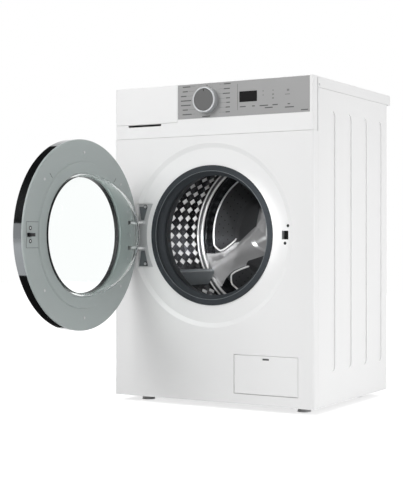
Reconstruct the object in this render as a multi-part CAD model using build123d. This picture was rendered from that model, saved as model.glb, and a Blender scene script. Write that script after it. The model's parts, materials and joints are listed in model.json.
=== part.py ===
from build123d import *
import os
from math import atan2, cos, degrees, radians, sin, sqrt

# Front load washing machine, millimetres, +Z up, front face towards -Y.
# The origin lies on the floor under the middle of the cabinet's footprint.
# "Depth" below means the distance behind the plane of the front panel.

# Cabinet
WIDTH = 598.0
DEPTH = 476.0
BODY_HEIGHT = 828.0
FOOT_HEIGHT = 17.0
SHEET = 1.0
CORNER_RADIUS = 8.0
WRAP = 24.0
SEAM = 0.6
SEAT = 0.3
RUNNING = 0.06
TOP_SKIRT = 28.0
TOP_BOARD = 16.0
TOP_OVERHANG = 26.0
PANEL_FLANGE = 12.0
BEAD_COUNT = 4
BEAD_FIRST = 112.0
BEAD_PITCH = 103.5
BEAD_WIDTH = 30.0
BEAD_LOW = 84.0
BEAD_HIGH = 748.0
BEAD_SINK = 3.0
TRAY_WALL = 4.0
TRAY_HEIGHT = 25.0
COVER_OPENING = 165.0
COVER_EDGE = 15.0
COVER_DOME = 9.0
COVER_SCREW_COUNT = 6
TRANSIT_RADIUS = 17.0
FOOT_STUD = 5.0
FOOT_PAD = 18.0
FOOT_INSET_X = 62.0
FOOT_INSET_Y = 74.0

# Fascia, drawer and controls
FASCIA_HEIGHT = 136.0
FASCIA_INSET = 2.0
PLASTIC = 2.5
DRAWER_RIGHT = -98.0
DRAWER_FRONT_HEIGHT = 98.0
TRAY_LENGTH = 262.0
HOUSING_GAP = 0.4
FINGER_LEFT = -253.6
FINGER_RIGHT = -148.7
FINGER_HEIGHT = 5.6
OVERLAY_RIGHT = 287.9
OVERLAY_HEIGHT = 90.0
OVERLAY_THICK = 0.8
OVERLAY_TOP_EDGE = 1.0
KNOB_X = -7.0
KNOB_DROP = 45.0
KNOB_RADIUS = 33.4
KNOB_STANDS = 19.5
KNOB_SHAFT = 3.0
DISPLAY_LEFT = 88.7
DISPLAY_WIDTH = 51.2
DISPLAY_HEIGHT = 27.4
DISPLAY_TOP_DROP = 28.7
POST_LENGTH = 9.5
BOARD_LEFT = -62.0
BOARD_RIGHT = 204.0
TRAY_CELLS = 3
TRAY_FRONT_WALL = 26.0

# Porthole, gasket and drum
DRUM_RISE = 18.0
DISH_RADIUS = 240.0
DISH_FLOOR_RADIUS = 228.0
DISH_DEPTH = 5.0
PORT_RADIUS = 182.5
NECK_DEPTH = 20.0
GASKET_OPENING = 156.0
DRUM_CLEARANCE = 12.0
DRUM_WALL = 1.0
DRUM_MOUTH = 170.0
DRUM_FRONT_DEPTH = 78.0
DRUM_REAR_GAP = 16.0
LIFTER_HEIGHT = 42.0
LIFTER_WIDTH = 56.0
LIFTER_WALL = 1.5
LIFTER_ANGLES = (210.0, 330.0, 90.0)
TUB_RADIUS = 252.0
TUB_WALL = 4.0
TUB_FRONT_DEPTH = 68.0
TUB_SPLIT_AHEAD = 22.0
TUB_REAR_ROOM = 110.0
TUB_TRAVEL = 10.0
SHAFT_RADIUS = 12.5
BEARING_RADIUS = 30.0
BEARING_WIDTH = 14.0
BEARING_INSET = 11.0
BEARING_LIP = 2.0
PULLEY_RADIUS = 140.0
PULLEY_GAP = 12.0
PULLEY_WIDTH = 16.0
BELT_THICK = 4.0
BELT_WIDTH = 10.0
MOTOR_X = 150.0
MOTOR_GAP = 31.0
MOTOR_RADIUS = 52.0
MOTOR_PULLEY_GAP = 10.0
MOTOR_LENGTH = 170.0
MOTOR_PULLEY_RADIUS = 10.0
MOTOR_SHAFT = 6.0
DAMPER_X = 120.0
DAMPER_GAP = 11.0
DAMPER_RADIUS = 17.0
DAMPER_ROD = 9.0
SPRING_X = 222.0
SPRING_AHEAD = 36.0
SPRING_RADIUS = 14.0
RAIL_HEIGHT = 36.0
RAIL_REACH = 98.0
MOUTH_NECK = 169.2
SUMP_HALF = 60.0
SUMP_DROP = 32.0
SUMP_OUTLET_X = 20.0
SUMP_OUTLET_DEPTH = 120.0
HOSE_RADIUS = 17.0
HEATER_HALF = 22.0
HUB_RADIUS = 46.0
HUB_LENGTH = 52.0
DAMPER_LUG = 17.9
DAMPER_STROKE = 25.0
DAMPER_FOOT = 3.0
HOSE_WALL = 3.0
HOSE_BEND = 22.0
PULLEY_SPOKES = 6
WEIGHT_RING = 36.0
WEIGHT_THICK = 32.0
WEIGHT_LEFT = -60.0
WEIGHT_RIGHT = 120.0
WEIGHT_AHEAD = 50.0
WEIGHT_BEHIND = 90.0
WEIGHT_SINK = 56.0
WEIGHT_RISE = 55.0

# Door, closed: its frame faces the cabinet, the hinge is on the left
DOOR_RADIUS = 240.0
DOOR_GAP = 3.0
DOOR_THICK = 35.0
DOOR_BEVEL = 6.0
DOOR_FRAME = 5.0
DOOR_WALL = 3.0
DOOR_HOLE = 153.5
DOOR_BOSS = 185.0
DOOR_BOSS_RISE = 4.0
DOOR_OPEN = 90.0
GLASS_WALL = 4.5
GLASS_GAP = 0.7
GLASS_REACH = 135.0
GLASS_SIDE_RADIUS = 115.0
HINGE_X = -231.8
HINGE_STANDS = 16.0
HINGE_PIN = 3.0
ARM_SPACING = 69.0
ARM_THICK = 6.0
SCREW_CIRCLE = 207.8
SCREW_ANGLES = (90.0, 40.0, -40.0, -90.0, 140.0, -140.0, 162.0, 180.0, -162.0)
HOOK_X = 216.0
HOOK_THICK = 8.0
HOOK_PIVOT = 1.5
WINDOW_WIDTH = 18.2
WINDOW_HEIGHT = 21.8
BRACKET_THICK = 2.5
BRACKET_X = -201.5
BRACKET_WIDTH = 45.0
BRACKET_HEIGHT = 168.0
BRACKET_CLEAR = 17.5
HINGE_SCREW_X = -203.5
HINGE_SCREW_RISE = 76.5
ARM_REACH = 27.0
HOOK_SLOT = 9.0
HOOK_EAR = 3.0
HOOK_DEPTH = -11.0

# Filter flap and pump
FLAP_LEFT = 72.9
FLAP_RIGHT = 255.2
FLAP_LOW = 27.0
FLAP_HIGH = 126.0
FLAP_THICK = 2.5
FLAP_CORNER = 1.5
FLAP_HEEL = 2.4
FLAP_GAP = 0.8
FLAP_PIVOT = 3.5
FLAP_PIN = 1.5
PUMP_X = 164.0
PUMP_HEIGHT = 71.0
PUMP_RADIUS = 38.0
PUMP_LENGTH = 124.0
PUMP_FOOT = 30.0
FILTER_LENGTH = 84.0
FILTER_RADIUS = 26.0
FRAME_EDGE = 9.0
FRAME_DEPTH = 26.0
PUMP_PORT = 14.0

# Connections at the back
INLET_RADIUS = 13.2
INLET_LENGTH = 19.0
COLLAR_EDGE = 5.0
COLLAR_THICK = 3.0
GLAND_REACH = 16.0
INLET_X = -160.0
OUTLET_RADIUS = 11.0
OUTLET_LENGTH = 25.0

# Worked out from the sizes above
HALF = WIDTH / 2
FRONT = -DEPTH / 2
REAR = DEPTH / 2
BOTTOM = FOOT_HEIGHT
TOP = BOTTOM + BODY_HEIGHT
AXIS_Z = BOTTOM + BODY_HEIGHT / 2 + DRUM_RISE
FASCIA_Z = TOP - FASCIA_HEIGHT
FASCIA_HALF = HALF - FASCIA_INSET
DRAWER_Z = TOP - DRAWER_FRONT_HEIGHT
SIDE_TOP = TOP - TOP_SKIRT - SEAM
HOUSING_TOP = TOP - TOP_BOARD - 2
KNOB_Z = TOP - KNOB_DROP
DRUM_RADIUS = TUB_RADIUS - DRUM_CLEARANCE
TUB_OUT = TUB_RADIUS + TUB_WALL
MOTOR_Z = AXIS_Z - sqrt((TUB_OUT + MOTOR_GAP + MOTOR_RADIUS) ** 2 - MOTOR_X ** 2)
PUMP_Z = BOTTOM + PUMP_HEIGHT
HINGE_Y = FRONT - HINGE_STANDS
DOOR_FACE = -DOOR_GAP
DOOR_BACK = DOOR_FACE - DOOR_FRAME
LOW_FLAP = BOTTOM + FLAP_LOW
HIGH_FLAP = BOTTOM + FLAP_HIGH
RAIL_Z = SIDE_TOP - RAIL_HEIGHT
TUB_BACK_DEPTH = DEPTH - TUB_REAR_ROOM
DRUM_REAR_DEPTH = TUB_BACK_DEPTH - DRUM_REAR_GAP
HUB_DEPTH = TUB_BACK_DEPTH + HUB_LENGTH
BEARING_DEPTHS = (TUB_BACK_DEPTH + BEARING_INSET, HUB_DEPTH - BEARING_WIDTH - BEARING_LIP)
PULLEY_DEPTH = HUB_DEPTH + PULLEY_GAP
MOTOR_FRONT_DEPTH = PULLEY_DEPTH - MOTOR_PULLEY_GAP - MOTOR_LENGTH
DAMPER_DEPTH = MOTOR_FRONT_DEPTH - DAMPER_GAP - DAMPER_RADIUS
DAMPER_LOW = BOTTOM + DAMPER_FOOT
DAMPER_TOP = AXIS_Z - sqrt(TUB_OUT ** 2 - DAMPER_X ** 2) - DAMPER_LUG
DAMPER_HEIGHT = DAMPER_TOP - DAMPER_STROKE - DAMPER_LOW
TUB_SPLIT_DEPTH = DAMPER_DEPTH - TUB_SPLIT_AHEAD
SPRING_DEPTH = TUB_BACK_DEPTH - SPRING_AHEAD
TRANSIT_PLACES = [(x, AXIS_Z + rise) for x in (-190, 190) for rise in (-150, 150)]
INLET_Z = SIDE_TOP - 34
GLAND_PLACES = [(170, SIDE_TOP - 30, 9.0), (-250, BOTTOM + 700, OUTLET_RADIUS)]
FOOT_PLACES = {
    "foot_front_left": (-HALF + FOOT_INSET_X, FRONT + FOOT_INSET_Y),
    "foot_front_right": (HALF - FOOT_INSET_X, FRONT + FOOT_INSET_Y),
    "foot_rear_left": (-HALF + FOOT_INSET_X, REAR - FOOT_INSET_Y),
    "foot_rear_right": (HALF - FOOT_INSET_X, REAR - FOOT_INSET_Y),
}
BOARD_LOW = TOP - 79
BOARD_HIGH = TOP - 8
POST_PLACES = [(x, z) for x in (BOARD_LEFT + 8, BOARD_RIGHT - 8) for z in (BOARD_LOW + 8, BOARD_HIGH - 8)]
HOUSING_LOW = DRAWER_Z + 8
HOUSING_FRONT = WRAP + 4
HOUSING_LEFT = -HALF + PANEL_FLANGE + PLASTIC + SEAM
HOUSING_RIGHT = DRAWER_RIGHT - 5.5
HEATER_Z = AXIS_Z - TUB_OUT - SUMP_DROP + 20
SPRING_LOW = AXIS_Z + sqrt(TUB_OUT ** 2 - SPRING_X ** 2) + 22


def at(depth):
    return FRONT + depth


def block(x0, x1, y0, y1, z0, z1):
    middle = Pos((x0 + x1) / 2, (y0 + y1) / 2, (z0 + z1) / 2)
    return middle * Box(x1 - x0, y1 - y0, z1 - z0)


def rod_y(x, z, radius, y0, y1):
    return Pos(x, (y0 + y1) / 2, z) * Rot(90, 0, 0) * Cylinder(radius, y1 - y0)


def rod_z(x, y, radius, z0, z1):
    return Pos(x, y, (z0 + z1) / 2) * Cylinder(radius, z1 - z0)


def rod_x(y, z, radius, x0, x1):
    return Pos((x0 + x1) / 2, y, z) * Rot(0, 90, 0) * Cylinder(radius, x1 - x0)


def spun(profile, x=0.0, z=AXIS_Z):
    """Turn a flat profile, drawn as (radius, y), about the line along Y through x and z."""
    return revolve(Pos(x, 0, z) * profile, axis=Axis((x, 0, z), (0, 1, 0)))


def turned(points, x=0.0, z=AXIS_Z):
    """A turned body from (radius, depth) corners."""
    corners = [(radius, at(depth)) for radius, depth in points]
    return spun(make_face(Polyline(*corners, close=True)), x, z)


def plate(sketch, y0, y1):
    """Thicken a sketch, drawn as (x, z) seen from the front, from y0 to y1."""
    back = Plane((0, y1, 0), x_dir=(1, 0, 0), z_dir=(0, -1, 0))
    return extrude(back * sketch, amount=y1 - y0)


def rounded_front(half, y0, y1, z0, z1, radius):
    body = block(-half, half, y0, y1, z0, z1)
    return fillet(body.edges().filter_by(Axis.Z).group_by(Axis.Y)[0], radius)


# Cabinet

def pocket_sketch(grow=0.0):
    """Outline of the hinge pocket, hollowed on the side of the porthole."""
    wide, tall = BRACKET_WIDTH + 3 + 2 * grow, BRACKET_HEIGHT + 4 + 2 * grow
    frame = Pos(BRACKET_X - 0.5, AXIS_Z) * Rectangle(wide, tall)
    return frame - Pos(0, AXIS_Z) * Circle(PORT_RADIUS + 9.5 - grow)


def dish_cut(shift=0.0):
    slope = (DISH_RADIUS - DISH_FLOOR_RADIUS) / DISH_DEPTH
    wide = DISH_RADIUS + slope * (1 + shift)
    return turned([(0, -1), (wide, -1), (DISH_FLOOR_RADIUS, DISH_DEPTH + shift), (0, DISH_DEPTH + shift)])


def flap_sketch(gap=0.0):
    middle = Pos((FLAP_LEFT + FLAP_RIGHT) / 2, (LOW_FLAP + HIGH_FLAP) / 2)
    wide = FLAP_RIGHT - FLAP_LEFT + 2 * gap
    tall = HIGH_FLAP - LOW_FLAP + 2 * gap
    return middle * RectangleRounded(wide, tall, FLAP_CORNER)


def front_panel():
    top = FASCIA_Z - SEAM
    pocket_floor = DISH_DEPTH + 4
    outer = rounded_front(HALF, FRONT, at(WRAP), BOTTOM, top, CORNER_RADIUS)
    inner = rounded_front(HALF - SHEET, at(SHEET), at(WRAP) + 1, BOTTOM + SHEET, top + 1,
                          CORNER_RADIUS - SHEET)
    inner = inner - dish_cut(SHEET) - plate(pocket_sketch(SHEET), FRONT - 1, at(pocket_floor + SHEET))
    panel = outer - dish_cut() - plate(pocket_sketch(), FRONT - 1, at(pocket_floor)) - inner
    panel = panel - rod_y(0, AXIS_Z, PORT_RADIUS, FRONT - 1, at(WRAP))
    panel = panel + turned([(PORT_RADIUS, DISH_DEPTH), (PORT_RADIUS + SHEET, DISH_DEPTH),
                            (PORT_RADIUS + SHEET, NECK_DEPTH), (PORT_RADIUS, NECK_DEPTH)])
    window = Pos(HOOK_X + 0.8, AXIS_Z) * Rectangle(WINDOW_WIDTH, WINDOW_HEIGHT)
    panel = panel - plate(window, FRONT - 1, at(WRAP / 2))
    for x, rise in ((HOOK_X + 8.7, 23.5), (HOOK_X + 0.4, -20.5)):
        panel = panel - rod_y(x, AXIS_Z + rise, 4, FRONT - 1, at(WRAP / 2))
    return panel - plate(flap_sketch(FLAP_GAP), FRONT - 1, at(WRAP / 2))


def bead_cut(y, grow=0.0, sink=BEAD_SINK):
    """One pressed bead of the right side panel, as the space it takes out of the sheet."""
    middle = BOTTOM + (BEAD_LOW + BEAD_HIGH) / 2
    outline = SlotOverall(BEAD_HIGH - BEAD_LOW + 2 * grow, BEAD_WIDTH + 2 * grow, rotation=90)
    side = Plane((HALF - sink, y, middle), x_dir=(0, 1, 0), z_dir=(1, 0, 0))
    return extrude(side * outline, amount=sink + 1)


def right_side_panel():
    y0 = at(WRAP + SEAM)
    outer = block(HALF - PANEL_FLANGE, HALF, y0, REAR, BOTTOM, SIDE_TOP)
    inner = block(HALF - PANEL_FLANGE - 1, HALF - SHEET, y0 + SHEET, REAR - SHEET, BOTTOM - 1, SIDE_TOP + 1)
    beads = [at(BEAD_FIRST + BEAD_PITCH * i) for i in range(BEAD_COUNT)]
    for y in beads:
        inner = inner - bead_cut(y, SHEET, BEAD_SINK + SHEET)
    for y in beads:
        outer = outer - bead_cut(y)
    return outer - inner


def rear_panel():
    half = HALF - SHEET - SEAT
    panel = block(-half, half, REAR - 2 * SHEET, REAR - SHEET, BOTTOM + 2, SIDE_TOP)
    panel = panel - rod_y(0, AXIS_Z, COVER_OPENING, REAR - 5, REAR + 1)
    for x, z in TRANSIT_PLACES:
        panel = panel - rod_y(x, z, TRANSIT_RADIUS, REAR - 5, REAR + 1)
    panel = panel - rod_y(INLET_X, INLET_Z, INLET_RADIUS + SEAT, REAR - 5, REAR + 1)
    for x, z, radius in GLAND_PLACES:
        panel = panel - rod_y(x, z, radius + SEAT, REAR - 5, REAR + 1)
    return panel


def rear_service_cover():
    rear = DEPTH
    edge = COVER_OPENING + COVER_EDGE
    mid = COVER_OPENING - 12
    return turned([(0, rear + COVER_DOME - 1), (mid, rear + COVER_DOME - 1), (COVER_OPENING - 2, rear - 1),
                   (edge, rear - 1), (edge, rear), (COVER_OPENING - 1, rear), (mid, rear + COVER_DOME),
                   (0, rear + COVER_DOME)])


def top_cover():
    y0 = at(WRAP + SEAM)
    y1 = REAR + TOP_OVERHANG
    outer = block(-HALF, HALF, y0, y1, TOP - TOP_SKIRT, TOP)
    outer = fillet(outer.edges().filter_by(Axis.Y).group_by(Axis.Z)[-1], 4)
    wall = 3
    return outer - block(-HALF + wall, HALF - wall, y0 + wall, y1 - wall, TOP - TOP_SKIRT - 1,
                         TOP - TOP_BOARD)


def base_frame():
    half = HALF - SHEET - SEAT
    y0 = at(WRAP + 10)
    y1 = REAR - 2 * SHEET - SEAT
    top = BOTTOM + TRAY_HEIGHT
    tray = block(-half, half, y0, y1, BOTTOM, top)
    tray = tray - block(-half + TRAY_WALL, half - TRAY_WALL, y0 + TRAY_WALL, y1 - TRAY_WALL, BOTTOM + 3,
                        top + 1)
    for x, y in FOOT_PLACES.values():
        tray = tray + rod_z(x, y, 13, BOTTOM, top)
        tray = tray - rod_z(x, y, FOOT_STUD + RUNNING, BOTTOM - 1, top + 1)
    return tray


def foot(x, y):
    nut = 5
    pad = Pos(x, y, (BOTTOM - nut) / 2) * Cone(FOOT_PAD, FOOT_PAD - 4, BOTTOM - nut)
    hexagon = extrude(Pos(x, y, BOTTOM - nut) * RegularPolygon(9, 6), amount=nut)
    return pad + hexagon + rod_z(x, y, FOOT_STUD, BOTTOM, BOTTOM + TRAY_HEIGHT - 2)


def top_rails():
    """Two angle rails that carry the springs, and the bar behind the fascia."""
    rails = []
    outer = HALF - SHEET - SEAT
    for side in (-1, 1):
        y0 = at(SPRING_DEPTH - 30)
        y1 = REAR - 2 * SHEET - SEAT
        edges = sorted((side * (outer - RAIL_REACH), side * outer))
        wall = sorted((side * (outer - 2), side * outer))
        rails.append(block(*edges, y0, y1, RAIL_Z, RAIL_Z + 2) + block(*wall, y0, y1, RAIL_Z, SIDE_TOP - 1))
    y0 = at(WRAP + SEAM + SHEET + SEAT)
    bar = block(DRAWER_RIGHT - 2, outer, y0, y0 + 14, RAIL_Z, RAIL_Z + 2)
    bar = bar + block(DRAWER_RIGHT - 2, outer, y0, y0 + 2, RAIL_Z, SIDE_TOP - 1)
    return rails + [bar]


def cabinet_screws():
    """Screws of the hinge bracket and of the service cover."""
    screws = []
    for z in (AXIS_Z + HINGE_SCREW_RISE, AXIS_Z - HINGE_SCREW_RISE):
        head = at(DISH_DEPTH + 4 - BRACKET_THICK)
        screws.append(rod_y(HINGE_SCREW_X, z, 4, head - 2, head))
    ring = COVER_OPENING + COVER_EDGE / 2
    for i in range(COVER_SCREW_COUNT):
        angle = radians(360 / COVER_SCREW_COUNT * i + 30)
        screws.append(rod_y(ring * cos(angle), AXIS_Z + ring * sin(angle), 4, REAR, REAR + 2.5))
    return screws


def transit_plugs():
    plugs = []
    for x, z in TRANSIT_PLACES:
        plug = rod_y(x, z, TRANSIT_RADIUS + 4, REAR - SHEET, REAR + 2)
        plugs.append(plug + rod_y(x, z, TRANSIT_RADIUS - SEAT, REAR - 12, REAR - SHEET))
    return plugs


def rear_glands():
    """The mains lead's gland and the drain hose's outlet, both without their lines."""
    (gx, gz, gr), (dx, dz, dr) = GLAND_PLACES
    gland = rod_y(gx, gz, gr, REAR - 10, REAR + GLAND_REACH)
    gland = gland + rod_y(gx, gz, gr + COLLAR_EDGE - 1, REAR - SHEET, REAR + COLLAR_THICK)
    gland = gland - rod_y(gx, gz, gr - 5, REAR - 11, REAR + GLAND_REACH + 1)
    outlet = rod_y(dx, dz, dr, REAR - 20, REAR + OUTLET_LENGTH)
    outlet = outlet + rod_y(dx, dz, dr + COLLAR_EDGE, REAR - SHEET, REAR + COLLAR_THICK)
    outlet = outlet - rod_y(dx, dz, dr - 3, REAR - 21, REAR + OUTLET_LENGTH + 1)
    return [gland, outlet]


def inlet_valve():
    inside = REAR - 2 * SHEET
    body = block(INLET_X - 22, INLET_X + 22, inside - 58, inside, INLET_Z - 22, INLET_Z + 22)
    spigot = rod_y(INLET_X, INLET_Z, INLET_RADIUS, inside, REAR + INLET_LENGTH)
    bore = rod_y(INLET_X, INLET_Z, INLET_RADIUS - 4, inside - 20, REAR + INLET_LENGTH + 1)
    collar = rod_y(INLET_X, INLET_Z, INLET_RADIUS + COLLAR_EDGE, REAR - SHEET, REAR + COLLAR_THICK)
    return body + spigot + collar - bore


# Fascia, drawer and controls

def control_fascia():
    half = FASCIA_HALF
    wall = PLASTIC
    body = rounded_front(half, FRONT, at(WRAP), FASCIA_Z, TOP, CORNER_RADIUS - FASCIA_INSET)
    body = body - block(-half + wall, half - wall, at(wall), at(WRAP) + 1, FASCIA_Z + wall, TOP - wall)
    body = body - block(-HALF, DRAWER_RIGHT, FRONT - 1, at(WRAP) + 1, DRAWER_Z - SEAM, TOP + 1)
    slot_top = DRAWER_Z - 1.6
    body = body - block(FINGER_LEFT, FINGER_RIGHT, FRONT - 1, at(wall) + 1, slot_top - FINGER_HEIGHT,
                        slot_top)
    body = body - plate(overlay_sketch(0.0), FRONT - 1, at(OVERLAY_THICK))
    body = body - plate(display_sketch(0.0), FRONT - 1, at(wall) + 1)
    for x, z in POST_PLACES:
        body = body + rod_y(x, z, 4, at(wall), at(wall + POST_LENGTH))
    body = body + rod_y(KNOB_X, KNOB_Z, 8, at(wall), at(wall + 5))
    return body - rod_y(KNOB_X, KNOB_Z, KNOB_SHAFT + RUNNING, FRONT - 1, at(wall + 6))


def overlay_sketch(gap):
    left = DRAWER_RIGHT + 1.5
    middle = Pos((left + OVERLAY_RIGHT) / 2, TOP - OVERLAY_TOP_EDGE - OVERLAY_HEIGHT / 2)
    return middle * Rectangle(OVERLAY_RIGHT - left - 2 * gap, OVERLAY_HEIGHT - 2 * gap)


def display_sketch(gap):
    middle = Pos(DISPLAY_LEFT + DISPLAY_WIDTH / 2, TOP - DISPLAY_TOP_DROP - DISPLAY_HEIGHT / 2)
    return middle * Rectangle(DISPLAY_WIDTH - 2 * gap, DISPLAY_HEIGHT - 2 * gap)


def control_overlay():
    sheet = overlay_sketch(0.15) - display_sketch(0.0) - Pos(KNOB_X, KNOB_Z) * Circle(KNOB_SHAFT + 1)
    return plate(sheet, FRONT, at(OVERLAY_THICK))


def display_window():
    return plate(display_sketch(0.15), FRONT, at(PLASTIC))


def control_board():
    y0 = at(PLASTIC + POST_LENGTH)
    board = block(BOARD_LEFT, BOARD_RIGHT, y0, y0 + 1.6, BOARD_LOW, BOARD_HIGH)
    board = board + plate(display_sketch(2.0), at(PLASTIC), y0)
    board = board + rod_y(KNOB_X, KNOB_Z, 12, at(PLASTIC + 5 + SEAT), y0)
    return board - rod_y(KNOB_X, KNOB_Z, KNOB_SHAFT + RUNNING, FRONT, y0 - 0.5)


def program_knob():
    r = KNOB_RADIUS
    top = -KNOB_STANDS
    grip = turned([(0, top + 2.5), (r - 4.4, top + 2.5), (r - 4.4, top + 0.5), (r - 3.4, top),
                   (r - 1.4, top),
                   (r, top + 1.6), (r, -0.5), (r - 3, -0.5), (r - 3, top + 6), (0, top + 6)], KNOB_X,
                   KNOB_Z)
    return grip + rod_y(KNOB_X, KNOB_Z, KNOB_SHAFT, at(top + 6), at(PLASTIC + POST_LENGTH - 1))


def knob_face():
    r = KNOB_RADIUS - 4.4 - 0.1
    top = -KNOB_STANDS
    return turned([(0, top + 0.8), (r - 0.8, top + 0.8), (r, top + 1.6), (r, top + 2.5), (0, top + 2.5)],
                  KNOB_X, KNOB_Z)


def housing_box(grow, y0, y1, z0, z1):
    return block(HOUSING_LEFT - grow, HOUSING_RIGHT + grow, y0, y1, z0, z1)


def dispenser_housing():
    y0 = at(HOUSING_FRONT)
    y1 = y0 + TRAY_LENGTH + 6
    outer = housing_box(PLASTIC, y0, y1, HOUSING_LOW - PLASTIC, HOUSING_TOP)
    return outer - housing_box(0, y0 - 1, y1 - PLASTIC, HOUSING_LOW, HOUSING_TOP - PLASTIC)


def cell_width(wall):
    inside = HOUSING_RIGHT - HOUSING_LEFT - 2 * HOUSING_GAP
    return (inside - (TRAY_CELLS + 1) * wall) / TRAY_CELLS


def drawer_tray():
    wall = 2.0
    gap = HOUSING_GAP
    y0 = at(PLASTIC)
    y1 = at(HOUSING_FRONT) + TRAY_LENGTH
    z0 = HOUSING_LOW + gap
    z1 = HOUSING_TOP - PLASTIC - 8
    tray = housing_box(-gap, y0, y1, z0, z1)
    cell = cell_width(wall)
    for i in range(TRAY_CELLS):
        x0 = HOUSING_LEFT + gap + wall + i * (cell + wall)
        tray = tray - block(x0, x0 + cell, y0 + TRAY_FRONT_WALL, y1 - wall, z0 + wall, z1 + 1)
    return tray


def drawer_front():
    wall = PLASTIC
    right = DRAWER_RIGHT - SEAM
    body = block(-FASCIA_HALF, right, FRONT, at(WRAP), DRAWER_Z, TOP)
    body = fillet(body.edges().filter_by(Axis.Z).group_by(Axis.Y)[0].group_by(Axis.X)[0],
                  CORNER_RADIUS - FASCIA_INSET)
    return body - block(-FASCIA_HALF + wall, right - wall, at(wall), at(WRAP) + 1, DRAWER_Z + wall,
                        TOP - wall)


def siphon_cap():
    wall = 2.0
    cell = cell_width(wall)
    x0 = HOUSING_LEFT + HOUSING_GAP + wall + (cell + wall) + SEAT
    floor = HOUSING_LOW + HOUSING_GAP + wall
    y1 = at(HOUSING_FRONT) + TRAY_LENGTH - wall - SEAT
    return block(x0, x0 + cell - 2 * SEAT, y1 - 70, y1, floor, floor + 30)


# Porthole, gasket, tub and drum

def gasket():
    lip = GASKET_OPENING
    port = PORT_RADIUS
    front = DISH_DEPTH - 3.6
    return turned([(port - 14, front), (port - 1.5, front), (port - SEAT, front + 1.5),
                   (port - SEAT, NECK_DEPTH + SEAT),
                   (port + SHEET + SEAT, NECK_DEPTH + SEAT), (port + SHEET + SEAT, NECK_DEPTH - 9),
                   (port + 5, NECK_DEPTH - 9), (port + 5, NECK_DEPTH + 4), (port - 3, NECK_DEPTH + 9),
                   (port - 1, NECK_DEPTH + 20), (MOUTH_NECK + 5, NECK_DEPTH + 31),
                   (MOUTH_NECK + 5, TUB_FRONT_DEPTH - 1),
                   (MOUTH_NECK + SEAT, TUB_FRONT_DEPTH - 1), (MOUTH_NECK + SEAT, NECK_DEPTH + 30),
                   (port - 6, NECK_DEPTH + 20), (port - 9, NECK_DEPTH + 11), (lip + 2, NECK_DEPTH + 8),
                   (lip, NECK_DEPTH + 5), (lip + 2, NECK_DEPTH + 2), (port - 14, NECK_DEPTH - 6),
                   (port - 16, front + 5)])


def gasket_clamp():
    middle = PORT_RADIUS + 5 + SEAT + 1.6
    ring = Pos(middle, at(NECK_DEPTH - 3)) * Circle(1.6)
    return spun(ring)


def tub_front():
    r0, r1 = TUB_RADIUS, TUB_OUT
    d0, d1 = TUB_FRONT_DEPTH, TUB_SPLIT_DEPTH
    shell = turned([(MOUTH_NECK - 3.2, d0 - 14), (MOUTH_NECK, d0 - 14), (MOUTH_NECK, d0), (r1, d0),
                    (r1, d1 - 8),
                    (r1 + 8, d1 - 8), (r1 + 8, d1), (r0, d1), (r0, d0 + TUB_WALL),
                    (MOUTH_NECK - 3.2, d0 + TUB_WALL)])
    low = AXIS_Z - r1 - SUMP_DROP
    y0, y1 = at(d0 + 18), at(d1 - 9)
    sump = block(-SUMP_HALF, SUMP_HALF, y0, y1, low, AXIS_Z - r0 + 20)
    sump = sump - rod_y(0, AXIS_Z, r0, y0 - 1, y1 + 1)
    well = block(-SUMP_HALF + 4, SUMP_HALF - 4, y0 + 4, y1 - 4, low + 4, AXIS_Z - r0 + 30)
    drain = rod_z(SUMP_OUTLET_X, at(SUMP_OUTLET_DEPTH), HOSE_RADIUS, low - 14, low + 2)
    hole = rod_z(SUMP_OUTLET_X, at(SUMP_OUTLET_DEPTH), HOSE_RADIUS - 3, low - 15, low + 5)
    port = block(-HEATER_HALF - 6, HEATER_HALF + 6, y0 - 1, y0 + 5, HEATER_Z - 6, HEATER_Z + 6)
    return shell + sump + drain - well - hole - port


def tub_rear():
    r0, r1 = TUB_RADIUS, TUB_OUT
    d0, d1 = TUB_SPLIT_DEPTH, TUB_BACK_DEPTH
    shell = turned([(SHAFT_RADIUS + 4, d1), (r0, d1), (r0, d0), (r1 + 8, d0), (r1 + 8, d0 + 8),
                    (r1, d0 + 8),
                    (r1, d1 + 8), (HUB_RADIUS, d1 + 8), (HUB_RADIUS, HUB_DEPTH),
                    (SHAFT_RADIUS + 4, HUB_DEPTH)])
    for depth in BEARING_DEPTHS:
        shell = shell - rod_y(0, AXIS_Z, BEARING_RADIUS, at(depth), at(depth + BEARING_WIDTH))
    last = BEARING_DEPTHS[-1]
    shell = shell - rod_y(0, AXIS_Z, BEARING_RADIUS, at(last), at(HUB_DEPTH) + 1)
    lugs = []
    for side in (-1, 1):
        foot_z = AXIS_Z - sqrt(r1 ** 2 - DAMPER_X ** 2)
        x = side * DAMPER_X
        lugs.append(block(x - 15, x + 15, at(DAMPER_DEPTH - 13), at(DAMPER_DEPTH + 13), DAMPER_TOP,
                          foot_z + 16))
        ear = side * SPRING_X
        rise = AXIS_Z + sqrt(r1 ** 2 - SPRING_X ** 2)
        lugs.append(block(ear - 16, ear + 16, at(SPRING_DEPTH - 16), at(SPRING_DEPTH + 16), rise - 22,
                          SPRING_LOW))
    for depth in (MOTOR_FRONT_DEPTH + 20, MOTOR_FRONT_DEPTH + MOTOR_LENGTH - 60):
        top = AXIS_Z - sqrt(r1 ** 2 - MOTOR_X ** 2) + 10
        lugs.append(block(MOTOR_X - 24, MOTOR_X + 24, at(depth), at(depth + 12), MOTOR_Z, top))
    for lug in lugs:
        lug = lug - rod_y(0, AXIS_Z, r0, FRONT, REAR)
        shell = shell + (lug - rod_y(MOTOR_X, MOTOR_Z, MOTOR_RADIUS + SEAT, FRONT, REAR))
    return shell


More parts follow.
